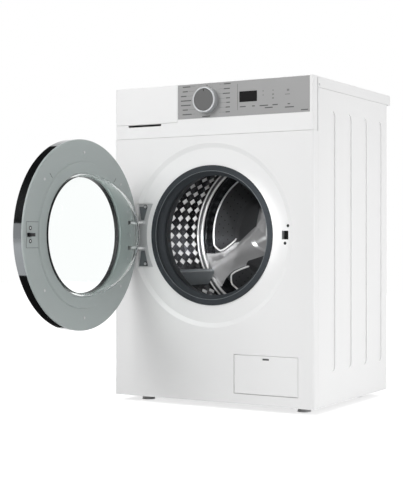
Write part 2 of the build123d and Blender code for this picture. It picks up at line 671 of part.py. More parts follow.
def tub_bearings():
    rings = []
    for depth in BEARING_DEPTHS:
        ring = rod_y(0, AXIS_Z, BEARING_RADIUS, at(depth), at(depth + BEARING_WIDTH))
        rings.append(ring - rod_y(0, AXIS_Z, SHAFT_RADIUS + RUNNING, at(depth) - 1,
                                  at(depth + BEARING_WIDTH) + 1))
    return rings


def counterweight_front():
    inner, outer = TUB_RADIUS - 2 - WEIGHT_RING, TUB_RADIUS - 2
    d0, d1 = TUB_FRONT_DEPTH - WEIGHT_THICK, TUB_FRONT_DEPTH
    return turned([(inner, d0), (outer, d0), (outer, d1), (inner, d1)])


def counterweight_top():
    low, high = AXIS_Z + TUB_OUT - WEIGHT_SINK, AXIS_Z + TUB_OUT + WEIGHT_RISE
    y0, y1 = at(TUB_SPLIT_DEPTH - WEIGHT_AHEAD), at(TUB_SPLIT_DEPTH + WEIGHT_BEHIND)
    mass = block(WEIGHT_LEFT, WEIGHT_RIGHT, y0, y1, low, high)
    mass = fillet(mass.edges().filter_by(Axis.Z), 12)
    flange = rod_y(0, AXIS_Z, TUB_OUT + 8 + SEAT, FRONT, at(TUB_SPLIT_DEPTH + 8) + SEAT)
    return mass - flange - rod_y(0, AXIS_Z, TUB_OUT + SEAT, FRONT, REAR)


def motor():
    y0 = at(MOTOR_FRONT_DEPTH)
    body = rod_y(MOTOR_X, MOTOR_Z, MOTOR_RADIUS, y0, y0 + MOTOR_LENGTH)
    return body - rod_y(MOTOR_X, MOTOR_Z, MOTOR_SHAFT + RUNNING, y0 + 40, y0 + MOTOR_LENGTH + 1)


def motor_pulley():
    y0 = at(MOTOR_FRONT_DEPTH)
    shaft = rod_y(MOTOR_X, MOTOR_Z, MOTOR_SHAFT, y0 + 41, at(PULLEY_DEPTH + PULLEY_WIDTH))
    return shaft + rod_y(MOTOR_X, MOTOR_Z, MOTOR_PULLEY_RADIUS, at(PULLEY_DEPTH),
                         at(PULLEY_DEPTH + PULLEY_WIDTH))


def belt_loop(gap):
    big = Pos(0, AXIS_Z) * Circle(PULLEY_RADIUS + gap)
    small = Pos(MOTOR_X, MOTOR_Z) * Circle(MOTOR_PULLEY_RADIUS + gap)
    return make_hull(big.edges() + small.edges())


def drive_belt():
    y0 = at(PULLEY_DEPTH + (PULLEY_WIDTH - BELT_WIDTH) / 2)
    return plate(belt_loop(SEAT + BELT_THICK) - belt_loop(SEAT), y0, y0 + BELT_WIDTH)


def heater():
    y0 = at(TUB_FRONT_DEPTH + 18)
    y1 = at(TUB_SPLIT_DEPTH - 9) - 14
    flange = block(-HEATER_HALF - 10, HEATER_HALF + 10, y0 - 6, y0, HEATER_Z - 11, HEATER_Z + 11)
    for x in (-HEATER_HALF, HEATER_HALF):
        flange = flange + rod_y(x, HEATER_Z, 4, y0 - 1, y1)
    return flange + rod_x(y1, HEATER_Z, 4, -HEATER_HALF - 4, HEATER_HALF + 4)


def damper_cylinders():
    tubes = []
    floor = DAMPER_LOW
    for side in (-1, 1):
        x, y = side * DAMPER_X, at(DAMPER_DEPTH)
        tube = rod_z(x, y, DAMPER_RADIUS, floor, floor + DAMPER_HEIGHT)
        tubes.append(tube - rod_z(x, y, DAMPER_ROD + RUNNING, floor + 40, floor + DAMPER_HEIGHT + 1))
    return tubes


def damper_rods():
    low = DAMPER_LOW + 40 + TUB_TRAVEL + 10
    return [rod_z(side * DAMPER_X, at(DAMPER_DEPTH), DAMPER_ROD, low, DAMPER_TOP) for side in (-1, 1)]


def suspension_springs():
    coils = []
    for side in (-1, 1):
        x, y = side * SPRING_X, at(SPRING_DEPTH)
        coil = rod_z(x, y, SPRING_RADIUS, SPRING_LOW, RAIL_Z)
        coils.append(coil - rod_z(x, y, SPRING_RADIUS - 4, SPRING_LOW - 1, RAIL_Z + 1))
    return coils


def sump_hose():
    y = at(SUMP_OUTLET_DEPTH)
    start = AXIS_Z - TUB_OUT - SUMP_DROP - 14
    corner = PUMP_Z + 4
    end = PUMP_X - PUMP_RADIUS - PUMP_PORT
    path = FilletPolyline((SUMP_OUTLET_X, y, start), (SUMP_OUTLET_X, y, corner), (end, y, corner),
                          radius=HOSE_BEND)
    ring = Plane((SUMP_OUTLET_X, y, start),
                 z_dir=(0, 0, -1)) * (Circle(HOSE_RADIUS) - Circle(HOSE_RADIUS - HOSE_WALL))
    return sweep(ring, path=path)


def drum_shell():
    r, wall = DRUM_RADIUS, DRUM_WALL
    d0, d1 = DRUM_FRONT_DEPTH, DRUM_REAR_DEPTH
    lip = DRUM_MOUTH
    return turned([(r, d1), (r, d0 + 14), (r - 6, d0 + 6), (lip + 2, d0), (lip, d0 + 2), (lip + 1, d0 + 5),
                   (r - 6.6, d0 + 5 + 3), (r - wall, d0 + 15), (r - wall, d1)])


def drum_rear():
    r = DRUM_RADIUS - DRUM_WALL - 0.1
    d = DRUM_REAR_DEPTH - 2
    return turned([(0, d - 8), (100, d - 8), (118, d), (r - 16, d), (r, d - 16), (r, d - 14),
                   (r - 15, d + 1),
                   (117.6, d + 1), (99.6, d - 7), (0, d - 7)])


def lifter_outline(inset):
    """Cross-section of a lifter, from beyond the drum's wall to its crest."""
    outer = DRUM_RADIUS + 2
    half = LIFTER_WIDTH / 2 - inset
    top = DRUM_RADIUS - LIFTER_HEIGHT + inset
    return make_face(Polyline((outer, -half), (top + 10, -9 + inset), (top, -4 + inset / 2),
                              (top, 4 - inset / 2), (top + 10, 9 - inset), (outer, half), close=True))


def drum_lifters():
    """Pressed hoods, open towards the drum's wall."""
    lifters = []
    wall = LIFTER_WALL
    y0, y1 = at(DRUM_FRONT_DEPTH + 26), at(DRUM_REAR_DEPTH - 26)
    outer = DRUM_RADIUS - DRUM_WALL - 0.1
    for angle in LIFTER_ANGLES:
        turn = Pos(0, AXIS_Z) * Rot(0, 0, angle)
        bar = plate(turn * lifter_outline(0), y0, y1)
        bar = bar - plate(turn * lifter_outline(wall), y0 + wall, y1 - wall)
        lifters.append(bar & rod_y(0, AXIS_Z, outer, y0 - 1, y1 + 1))
    return lifters


def drum_spider():
    """Three-armed casting with the drum's shaft."""
    d0 = DRUM_REAR_DEPTH
    spider = rod_y(0, AXIS_Z, 40, at(d0 - 1), at(d0 + 11))
    for angle in LIFTER_ANGLES:
        outline = make_face(Polyline((0, -24), (DRUM_RADIUS - 4, -14), (DRUM_RADIUS - 4, 14), (0, 24),
                                     close=True))
        spider = spider + plate(Pos(0, AXIS_Z) * Rot(0, 0, angle) * outline, at(d0 + 1), at(d0 + 9))
        seat = Pos(0, AXIS_Z) * Rot(0, 0, angle) * Pos(DRUM_RADIUS - 30, 0) * Rectangle(20, 24)
        spider = spider + plate(seat, at(d0 - 1), at(d0 + 2))
    return spider + rod_y(0, AXIS_Z, SHAFT_RADIUS, at(d0 + 5), at(PULLEY_DEPTH + PULLEY_WIDTH + 8))


def drum_pulley():
    d0, d1 = PULLEY_DEPTH, PULLEY_DEPTH + PULLEY_WIDTH
    mid = (d0 + d1) / 2
    r = PULLEY_RADIUS
    wheel = turned([(SHAFT_RADIUS, d0 - 4), (28, d0 - 4), (28, mid - 2), (r - 8, mid - 2), (r - 8, d0),
                    (r, d0), (r, d1),
                    (r - 8, d1), (r - 8, mid + 2), (28, mid + 2), (28, d1), (SHAFT_RADIUS, d1)])
    for i in range(PULLEY_SPOKES):
        angle = radians(360 / PULLEY_SPOKES * i)
        wheel = wheel - rod_y(80 * cos(angle), AXIS_Z + 80 * sin(angle), 26, at(d0), at(d1))
    return wheel


# Door, drawn closed and then swung open about its pin

def opened(shape):
    return Pos(HINGE_X, HINGE_Y, 0) * Rot(0, 0, -DOOR_OPEN) * Pos(-HINGE_X, -HINGE_Y, 0) * shape


def hinge_bracket():
    floor = at(DISH_DEPTH + 4)
    outline = Pos(BRACKET_X, AXIS_Z) * Rectangle(BRACKET_WIDTH, BRACKET_HEIGHT)
    outline = outline - Pos(0, AXIS_Z) * Circle(PORT_RADIUS + BRACKET_CLEAR)
    bracket = plate(outline, floor - BRACKET_THICK, floor)
    px, py = HINGE_X, HINGE_Y
    arm = make_face(Polyline((px + ARM_REACH, floor - 1), (px + ARM_REACH, py + 11), (px + 5, py - 6),
                             (px - 4, py - 5.5),
                             (px - 6, py + 4), (px + ARM_REACH - 10, floor - 8),
                             (px + ARM_REACH - 10, floor - 1),
                             close=True))
    for side in (-1, 1):
        low = AXIS_Z + side * ARM_SPACING / 2 - ARM_THICK / 2
        bracket = bracket + extrude(Pos(0, 0, low) * arm, amount=ARM_THICK)
    return bracket - rod_z(px, py, HINGE_PIN + RUNNING, AXIS_Z - ARM_SPACING, AXIS_Z + ARM_SPACING)


def hinge_pin():
    half = ARM_SPACING / 2 + ARM_THICK / 2 + 2
    return opened(rod_z(HINGE_X, HINGE_Y, HINGE_PIN, AXIS_Z - half, AXIS_Z + half))


def arm_slots():
    cuts = []
    for side in (-1, 1):
        middle = AXIS_Z + side * ARM_SPACING / 2
        half = ARM_THICK / 2 + 2.5
        cuts.append(block(-DOOR_RADIUS - 10, HINGE_X + ARM_REACH + 6, HINGE_Y - 9, FRONT + 5,
                          middle - half, middle + half))
    return cuts


def latch_box(gap, depth0, depth1):
    return block(179 + gap, 227 - gap, at(depth0), at(depth1), AXIS_Z - 30.5 + gap, AXIS_Z + 30.5 - gap)


def hook_hole(depth0, depth1):
    half = HOOK_THICK / 2 + 3 + HOOK_EAR + 2
    return block(HOOK_X - HOOK_SLOT, HOOK_X + HOOK_SLOT, at(depth0), at(depth1), AXIS_Z - half,
                 AXIS_Z + half)


def door_inner_frame():
    r, face, back = DOOR_RADIUS, DOOR_FACE, DOOR_BACK
    rise = face + DOOR_BOSS_RISE
    ring = turned([(DOOR_HOLE, back), (DOOR_HOLE, face + 1), (DOOR_HOLE + 3, rise), (DOOR_BOSS - 2, rise),
                   (DOOR_BOSS, face), (r - 1.5, face), (r, face - 1.5), (r, back)])
    boss_half = ARM_SPACING / 2 - ARM_THICK / 2 - 3
    ring = ring + block(HINGE_X - 3.4, HINGE_X + 6, HINGE_Y - 6, at(back), AXIS_Z - boss_half,
                        AXIS_Z + boss_half)
    ring = ring - rod_z(HINGE_X, HINGE_Y, HINGE_PIN, AXIS_Z - 60, AXIS_Z + 60)
    for cut in arm_slots():
        ring = ring - cut
    for x, z in door_screw_places():
        ring = ring - rod_y(x, z, 1.8, at(back) - 1, at(face) + 1)
    ring = ring - latch_box(0, face - 2, face + 1) - hook_hole(back - 1, face)
    return opened(ring)


def door_screw_places():
    return [(SCREW_CIRCLE * cos(radians(a)), AXIS_Z + SCREW_CIRCLE * sin(radians(a))) for a in SCREW_ANGLES]


def door_screws():
    screws = []
    for x, z in door_screw_places():
        head = rod_y(x, z, 3.4, at(DOOR_FACE), at(DOOR_FACE) + 1.2)
        screws.append(opened(head + rod_y(x, z, 1.7, at(DOOR_BACK), at(DOOR_FACE))))
    return screws


def door_outer_ring():
    r, back = DOOR_RADIUS, DOOR_BACK
    out = DOOR_FACE - DOOR_THICK
    clamp = back - GLASS_WALL - 0.2
    wall = DOOR_WALL
    bevel = DOOR_BEVEL
    ring = turned([(r, back), (r, out + bevel), (r - bevel, out), (r - 14, out),
                   (DOOR_HOLE + 6, clamp - wall), (DOOR_HOLE + 3, clamp - 2),
                   (DOOR_HOLE + 3, clamp), (DOOR_HOLE + 15, clamp),
                   (r - 14, out + wall), (r - bevel - 1, out + wall), (r - wall, out + bevel + 1),
                   (r - wall, back)])
    for cut in arm_slots():
        ring = ring - cut
    return opened(ring)


def dome(base, face, inset):
    """Two tangent arcs from the bowl's side, at radius base, to its tip."""
    side = GLASS_SIDE_RADIUS
    crown = (base ** 2 - 2 * base * side + GLASS_REACH ** 2) / (2 * (GLASS_REACH - side))
    turn = degrees(atan2(crown - GLASS_REACH, base - side))
    flank = CenterArc((base - side, face), side - inset, 0, turn)
    cap = CenterArc((0, face + GLASS_REACH - crown), crown - inset, turn, 90 - turn)
    return [flank, cap]


def door_glass():
    wall = GLASS_WALL
    base = DOOR_HOLE - GLASS_GAP
    face, back = at(DOOR_FACE), at(DOOR_BACK)
    outer = dome(base, face, 0)
    inner = dome(base, face, wall)
    edge = Polyline((base, face), (base, back), (DOOR_HOLE + 13, back), (DOOR_HOLE + 13, back - wall),
                    (base - wall, back - wall), (base - wall, face))
    tip = Line((0, face + GLASS_REACH), (0, face + GLASS_REACH - wall))
    return opened(spun(make_face(outer + inner + [tip] + edge.edges())))


def latch_plate():
    face = DOOR_FACE
    body = latch_box(0.2, face - 2, face + 0.4)
    half = HOOK_THICK / 2 + 1
    for side in (-1, 1):
        z0, z1 = sorted((AXIS_Z + side * half, AXIS_Z + side * (half + HOOK_EAR)))
        body = body + block(HOOK_X - 5, HOOK_X + 5, at(HOOK_DEPTH - 3.5), at(face), z0, z1)
    body = body - block(HOOK_X - HOOK_SLOT + 1, HOOK_X + HOOK_SLOT - 1, at(HOOK_DEPTH - 5), at(face) + 1,
                        AXIS_Z - half, AXIS_Z + half)
    for rise in (-14, 14):
        body = body - rod_y(HOOK_X - 2, AXIS_Z + rise * 1.15, 2.2, at(face - 1), at(face) + 1)
    reach = half + HOOK_EAR + 1
    return opened(body - rod_z(HOOK_X, at(HOOK_DEPTH), HOOK_PIVOT + RUNNING, AXIS_Z - reach,
                               AXIS_Z + reach))


def door_hook():
    tip = at(DISH_DEPTH + 8)
    half = HOOK_THICK / 2
    x, y = HOOK_X, at(HOOK_DEPTH)
    outline = make_face(Polyline((x - 3, y - 3), (x + 3, y - 3), (x + 3, tip - 8), (x + 5, tip - 8),
                                 (x + 5, tip - 4),
                                 (x + 1, tip), (x - 3, tip), close=True))
    hook = extrude(Pos(0, 0, AXIS_Z - half) * outline, amount=HOOK_THICK)
    reach = half + 1 + HOOK_EAR
    return opened(hook + rod_z(x, y, HOOK_PIVOT, AXIS_Z - reach, AXIS_Z + reach))


def door_lock():
    d0, d1 = DISH_DEPTH + SHEET, DISH_DEPTH + SHEET + 22
    body = block(HOOK_X - 16, HOOK_X + 22, at(d0), at(d1), AXIS_Z - 42, AXIS_Z + 42)
    half = WINDOW_HEIGHT / 2
    x = HOOK_X + 0.8
    reach = WINDOW_WIDTH / 2 + 3
    return body - block(x - reach, x + reach, at(d0) - 1, at(d1 - 4), AXIS_Z - half, AXIS_Z + half)


# Filter flap, pump and hose

def filter_flap():
    y0, y1 = FRONT, at(FLAP_THICK)
    flap = plate(flap_sketch(), y0, y1)
    flap = fillet(flap.edges().filter_by(Axis.X).group_by(Axis.Z)[0].group_by(Axis.Y)[0], FLAP_HEEL)
    middle = (FLAP_LEFT + FLAP_RIGHT) / 2
    notch = Pos(middle, HIGH_FLAP - 8.5) * RectangleRounded(22, 9, 3)
    flap = flap - plate(notch, y0 - 1, y0 + 1.5)
    py, pz = at(FLAP_PIVOT), LOW_FLAP + FLAP_PIVOT
    for x0, x1, end in ((FLAP_LEFT + 10, FLAP_LEFT + 16, FLAP_LEFT - 5),
                        (FLAP_RIGHT - 16, FLAP_RIGHT - 10, FLAP_RIGHT + 5)):
        flap = flap + block(x0, x1, y1 - 0.5, py + 1.5, pz - 1.5, pz + 1.5)
        low, high = sorted((x0, end))
        flap = flap + rod_x(py, pz, FLAP_PIN, low, high)
    return flap


def flap_frame():
    y0, y1 = at(SHEET), at(FRAME_DEPTH)
    frame = plate(flap_sketch(FRAME_EDGE), y0, y1) - plate(flap_sketch(FLAP_GAP), y0 - 1, y1 + 1)
    py, pz = at(FLAP_PIVOT), LOW_FLAP + FLAP_PIVOT
    frame = frame - rod_x(py, pz, FLAP_PIN + RUNNING, FLAP_LEFT - 6, FLAP_RIGHT + 6)
    shelf = plate(flap_sketch(FLAP_GAP + 1), y1 - 2, y1)
    return frame + (shelf - rod_y(PUMP_X, PUMP_Z, FILTER_RADIUS + 8, y1 - 3, y1 + 1))


def drain_pump():
    y0, y1 = at(FRAME_DEPTH + SEAT), at(FRAME_DEPTH + PUMP_LENGTH)
    body = rod_y(PUMP_X, PUMP_Z, PUMP_RADIUS, y0 + 8, y1)
    body = body + rod_y(PUMP_X, PUMP_Z, FILTER_RADIUS + 7, y0 - 4, y0 + 9)
    base = BOTTOM + 3
    body = body + block(PUMP_X - PUMP_FOOT, PUMP_X + PUMP_FOOT, y1 - 3 * PUMP_FOOT, y1 - PUMP_FOOT / 2,
                        base, PUMP_Z)
    end = PUMP_X - PUMP_RADIUS - PUMP_PORT
    body = body + rod_x(at(SUMP_OUTLET_DEPTH), PUMP_Z + 4, HOSE_RADIUS, end, PUMP_X)
    bore = rod_y(PUMP_X, PUMP_Z, FILTER_RADIUS + RUNNING, y0 - 5, y1 - 10)
    return body - bore - rod_x(at(SUMP_OUTLET_DEPTH), PUMP_Z + 4, HOSE_RADIUS - 3, end - 1, PUMP_X)


def pump_filter():
    y0 = at(FRAME_DEPTH - 4)
    cap = rod_y(PUMP_X, PUMP_Z, FILTER_RADIUS + 6, y0 - 6, y0)
    grip = block(PUMP_X - FILTER_RADIUS, PUMP_X + FILTER_RADIUS, y0 - 14, y0 - 5, PUMP_Z - 4, PUMP_Z + 4)
    tube = rod_y(PUMP_X, PUMP_Z, FILTER_RADIUS, y0 - 1, at(FRAME_DEPTH + FILTER_LENGTH))
    hollow = rod_y(PUMP_X, PUMP_Z, FILTER_RADIUS - 3, y0 + 6, at(FRAME_DEPTH + FILTER_LENGTH) + 1)
    return cap + grip + tube - hollow


def parts():
    """Every node by its name; a list holds like solids that share a node."""
    side = right_side_panel()
    nodes = {
        "base_frame": base_frame(),
        "side_panel_right": side,
        "side_panel_left": mirror(side, about=Plane.YZ),
        "rear_panel": rear_panel(),
        "rear_service_cover": rear_service_cover(),
        "front_panel": front_panel(),
        "top_cover": top_cover(),
        "top_rails": top_rails(),
        "control_fascia": control_fascia(),
        "control_overlay": control_overlay(),
        "display_window": display_window(),
        "control_board": control_board(),
        "dispenser_housing": dispenser_housing(),
        "inlet_valve": inlet_valve(),
        "drain_pump": drain_pump(),
        "door_lock": door_lock(),
        "hinge_bracket": hinge_bracket(),
        "cabinet_screws": cabinet_screws(),
        "gasket": gasket(),
        "gasket_clamp": gasket_clamp(),
        "transit_plugs": transit_plugs(),
        "rear_glands": rear_glands(),
        "flap_frame": flap_frame(),
        "damper_cylinders": damper_cylinders(),
        "drawer_front": drawer_front(),
        "drawer_tray": drawer_tray(),
        "siphon_cap": siphon_cap(),
        "program_knob": program_knob(),
        "knob_face": knob_face(),
        "filter_flap": filter_flap(),
        "pump_filter": pump_filter(),
        "door_inner_frame": door_inner_frame(),
        "door_outer_ring": door_outer_ring(),
        "door_glass": door_glass(),
        "latch_plate": latch_plate(),
        "hinge_pin": hinge_pin(),
        "door_screws": door_screws(),
        "door_hook": door_hook(),
        "tub_front": tub_front(),
        "tub_rear": tub_rear(),
        "tub_bearings": tub_bearings(),
        "counterweight_front": counterweight_front(),
        "counterweight_top": counterweight_top(),
        "motor": motor(),
        "heater": heater(),
        "damper_rods": damper_rods(),
        "drive_belt": drive_belt(),
        "suspension_springs": suspension_springs(),
        "sump_hose": sump_hose(),
        "drum_shell": drum_shell(),
        "drum_rear": drum_rear(),
        "drum_lifters": drum_lifters(),
        "drum_spider": drum_spider(),
        "drum_pulley": drum_pulley(),
        "motor_pulley": motor_pulley(),
    }
    for name, place in FOOT_PLACES.items():
        nodes[name] = foot(*place)
    return nodes


os.makedirs("parts", exist_ok=True)
for node, shape in parts().items():
    solid = Compound(children=shape) if isinstance(shape, list) else shape
    export_step(solid, "parts/" + node + ".step")
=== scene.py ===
import json
import math

import bpy
from mathutils import Matrix, Vector


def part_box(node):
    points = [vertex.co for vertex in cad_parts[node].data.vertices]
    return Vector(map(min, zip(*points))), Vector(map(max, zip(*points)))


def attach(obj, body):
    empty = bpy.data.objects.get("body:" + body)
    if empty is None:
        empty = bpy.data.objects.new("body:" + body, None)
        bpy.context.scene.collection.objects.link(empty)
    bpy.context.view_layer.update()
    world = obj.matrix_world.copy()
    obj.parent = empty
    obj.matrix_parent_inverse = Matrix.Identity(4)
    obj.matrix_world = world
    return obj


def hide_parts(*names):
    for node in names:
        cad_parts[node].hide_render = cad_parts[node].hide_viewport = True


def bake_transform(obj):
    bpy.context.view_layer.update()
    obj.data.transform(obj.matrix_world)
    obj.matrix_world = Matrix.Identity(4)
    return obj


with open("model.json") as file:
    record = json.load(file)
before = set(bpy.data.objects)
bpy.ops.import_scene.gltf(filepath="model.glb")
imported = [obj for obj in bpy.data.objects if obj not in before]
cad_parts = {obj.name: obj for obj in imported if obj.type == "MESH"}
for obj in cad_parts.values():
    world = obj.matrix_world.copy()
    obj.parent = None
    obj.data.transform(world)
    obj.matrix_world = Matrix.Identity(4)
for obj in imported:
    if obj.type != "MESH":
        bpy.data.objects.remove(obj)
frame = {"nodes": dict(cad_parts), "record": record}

bl_info = {
    "name": "Washing machine looks",
    "version": (1, 0, 0),
    "blender": (4, 5, 0),
    "location": "View3D > Sidebar > Washer",
    "description": "Materials, markings, drum pattern and studio for a front load washing machine",
    "category": "Object",
}

MM = 0.001


def edges(name):
    """Low and high corners of a node of the part at rest, in millimetres."""
    return [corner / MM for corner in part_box(name)]


# Places that the frame gives, in millimetres
FRONT_Y = edges("control_overlay")[0].y
KNOB_FACE_Y = edges("knob_face")[0].y
SIDE_X = edges("side_panel_right")[1].x
DRUM_LOW, DRUM_HIGH = edges("drum_shell")
AXIS_Z = (DRUM_LOW.z + DRUM_HIGH.z) / 2
DOOR_LOW, DOOR_HIGH = edges("door_inner_frame")
DOOR_MIDDLE_Y = (DOOR_LOW.y + DOOR_HIGH.y) / 2
PLATE_LOW, PLATE_HIGH = edges("latch_plate")
LOCK_LOW, LOCK_HIGH = edges("door_lock")
GASKET_FRONT_Y = edges("gasket")[0].y

# Knob and door: the door's face, the painted shade in its grooves, the latch plate's joint and screws, and
# the seal of the glass
KNOB = (-7.0, 800.0)
DOOR_FACE_X = -218.8
GROOVE_ANGLES = (43.0, 90.0, -43.0, -90.0)
GROOVE_HALF = 0.7
GROOVE_RADII = (188.0, 203.0)
PLATE_GAP = 0.2
JOINT_HALF = 0.8
LATCH_SCREWS = ((-698.4, 465.1), (-698.4, 434.1))
SEAL_RADIUS = 147.6
SEAL_THICK = 1.2
SEAL_REACH = (-9.5, 2.0)

# Wall of the drum: its sheet, the run of its pattern and the pads
DRUM_SHEET = 1.0
DRUM_WALL = DRUM_HIGH.x - DRUM_SHEET
DRUM_DEPTHS = (-124.0, 78.0)
LIFTER_ANGLES = (210.0, 330.0, 90.0)
LIFTER_GAP = 8.0
HOLE_HEIGHT = 0.12
HOLE_SIDES = 8
PAD_SIZE = (30.0, 20.0, 2.6)
PAD_TOP = 0.35

# Back of the drum: rings of holes, the lift of the painted dark ring on its corner, the star with its hub,
# and the rims of the fields between its arms
DRUM_BACK_Y = 109.9
BACK_RINGS = 6
BACK_RADIUS = 128.0
BACK_PITCH = 15.0
BACK_COUNT = 36
BACK_MORE = 4
CORNER_SHADE_LIFT = 0.2
ARM_PITCH = 120.0
ARM_ANGLES = (208.0, 328.0, 88.0)
ARM_HALF = 32.0
ARM_ROOT = 46.0
ARM_ROOT_REACH = 90.0
ARM_RISE = 36.0
ARM_END = 24.0
ARM_FLARE = 34.0
ARM_FLARE_FROM = 150.0
STAR_RADIUS = 224.0
STAR_SINK = 0.4
HUB_RADIUS = 44.0
HUB_SINK = 5.0
RIM_RADII = (86.0, 190.0)
RIM_CORNER = 16.0
RIM_GAP = 3.0
RIM_BEAD = 2.6

# Points of a circle about the drum's axis
RING_STEPS = 120

# Beads where the drum's wall meets its back: name, radius, place along the axis, thickness
HOOPS = (("drum_seam", 234.0, 94.0, 2.5), ("drum_hoop", 225.0, 103.0, 4.5))

# Cabinet: the gasket's lip, the lock's opening and its painted shade, the hinge bracket with painted shade
# in its recesses, the painted shade in the flap's notch, and the side screw
LIP_RADIUS = 167.6
LIP_BEAD = 0.9
LIP_DEPTH = 1.4
LOCK_WALL = 4.0
LOCK_CAVITY = (204.7, 228.9)
LOCK_HALF = 10.9
LOCK_HOLES = ((224.7, 472.5), (216.4, 428.5))
CAVITY_SHADE_THICK = 0.2
HINGE_FACE_Y = -231.5
HINGE_SCREWS = ((-203.5, 525.5), (-203.5, 372.5))
HINGE_RECESS_SHADES = (((-223.0, 526.0), (-196.0, 526.0), (-207.5, 490.0), (-217.0, 490.0)),
                  ((-217.0, 408.0), (-205.0, 408.0), (-195.0, 366.5), (-223.5, 366.5)))
FLAP_NOTCH_SHADE = (155.0, 173.0, -236.6, -236.45, 132.0, 136.5)
SIDE_SCREWS = ((-207.0, 824.0),)

# Small discs, some of them painted shadow or shade round screws and in holes: radius, height and sides
LATCH_SCREW_SHADOW = (5.2, 0.15, 20)
LATCH_HEAD = (2.6, 0.3, 16)
LOCK_HOLE = (4.6, 0.2, 20)
HINGE_SCREW_SHADE = (6.0, 0.3, 20)
SIDE_HEAD = (3.2, 0.8, 16)

# How far the thin dark marks stand out of their face
MARK_HEIGHT = 0.15

# Bars that stand for the printed words: middle x, middle z, width
LEFT_WORDS = ((-69.3, 838.0, 23.6), (-73.4, 826.0, 15.7), (-78.2, 814.0, 17.3), (-71.2, 802.0, 31.5),
              (-71.9, 790.0, 29.8), (-73.4, 778.0, 15.7), (-67.8, 766.0, 28.2))
RIGHT_WORDS = ((53.5, 839.0, 19.6), (52.0, 826.5, 18.2), (50.5, 814.4, 21.2), (55.3, 802.3, 12.1),
               (55.9, 790.8, 10.5), (54.7, 778.8, 12.7), (54.7, 766.4, 12.7))
KEY_WORDS = ((98.7, 777.1, 17.0), (129.7, 777.1, 8.0), (159.6, 776.7, 24.0), (173.5, 770.7, 22.0),
             (191.4, 776.9, 15.0), (229.9, 776.9, 7.0), (231.4, 768.9, 25.0), (273.0, 759.9, 19.0),
             (-9.6, 758.2, 24.0))
LAMPS = ((157.5, 813.4, 1.6), (157.5, 803.1, 1.6), (185.6, 813.6, 1.6), (185.6, 803.4, 2.4),
         (185.6, 793.9, 2.4), (227.7, 811.7, 3.2))
LAMP_FLAT = 0.8
LAMP_BAR = (219.0, 233.0, 800.4, 802.2)

# Other printing: half sizes, the lines that lead from the words to the knob, the divider and the two marks
WORD_HALF = 1.3
LEADER_HALF = 0.2
LEADER_GAP = 1.5
LEADER_ENDS = (-43.0, 29.0)
DIVIDER = (83.0, 83.8, 769.0, 836.0)
MARK_HALF = 1.2
ARROW_HEIGHTS = (836.5, 839.5)
KNOB_MARK_RISE = 25.0
KNOB_MARK_REACH = 3.5

# Studio floor and black cards that only reflections see: x, y and z from and to, in millimetres
FLOOR = (-6000.0, 6000.0, -6000.0, 6000.0, -20.0, 0.0)
FLOOR_GLOW = 0.75
FLAGS = ((-2220.0, -2200.0, -4800.0, 1200.0, 1050.0, 4600.0), (-1300.0, -300.0, -1000.0, -200.0, 5.0, 10.0))

# Lights and camera, in metres and degrees: place, target, and the size of an area or the cone of a spot
KEY_LIGHT = ((-1.2, -3.2, 2.4), (0.0, -0.2, 0.45), 2.2)
SIDE_LIGHT = ((1.6, 0.05, 0.45), (0.3, 0.0, 0.42), 0.7)
FILL_SPOT = ((1.95, -2.4, 0.62), (-0.06, -0.12, 0.445), 5.4)
DRUM_SPOT = ((1.0, -2.4, 0.85), (-0.1, 0.09, 0.43), 6.0)
SPOT_BLEND = 0.7
SPOT_SOFTNESS = 0.04
CAMERA_PLACE = (1.5378, -2.8588, 0.4384)
CAMERA_TURN = 30.79
CAMERA_SHIFT = -0.0056
SENSOR_WIDTH = 36.0

# Light of the studio's walls: how it grows from the horizon up, and from the left
WALL_RISE = {"From Min": -0.3, "From Max": 0.7, "To Min": 0.25, "To Max": 0.8}
WALL_LEFT = {"From Min": -0.7, "From Max": -0.2, "To Min": 0.12, "To Max": 1.0}

# Grain of the finishes: octaves of its noise, and its depth in millimetres
GRAIN_DETAIL = 2.0
GRAIN_DEPTH = 0.2

# Nodes whose finish differs from the plain one of their slot: the drum's wall and back are darker steel,
# painted dark reflection and painted shade
SPECIAL_LOOKS = {"drum_shell": "stainless_painted_dark", "drum_rear": "stainless_painted_shade",
                 "drum_lifters": "grey_polypropylene_and_shade"}
SLOTS = {row["node"]: row["material_slot"] for row in frame["record"]["subparts"]}
LOOKS = {}

# Nodes that join the cabinet to the floating tub, and where a bend or stretch of each would start and end
FLEXIBLE = (("gasket", (0.0, -209.0, 449.0), (0.0, -189.0, 449.0)),
            ("sump_hose", (20.0, -118.0, 112.0), (20.0, -118.0, 146.0)),
            ("suspension_springs", (0.0, 92.0, 780.4), (0.0, 92.0, 598.5)))


def rgb(code):
    """Linear colour of an sRGB hex code such as #a0b0c0."""
    parts = [int(code[i:i + 2], 16) / 255 for i in (1, 3, 5)]
    return [p / 12.92 if p <= 0.04045 else ((p + 0.055) / 1.055) ** 2.4 for p in parts] + [1.0]


def node(tree, kind, inputs=None, **settings):
    """Add one node, with its settings, and its inputs as values or as sockets to link."""
    made = tree.nodes.new(kind)
    for key, value in settings.items():
        setattr(made, key, value)
    for key, value in (inputs or {}).items():
        if isinstance(value, bpy.types.NodeSocket):
            tree.links.new(value, made.inputs[key])
        else:
            made.inputs[key].default_value = value
    return made


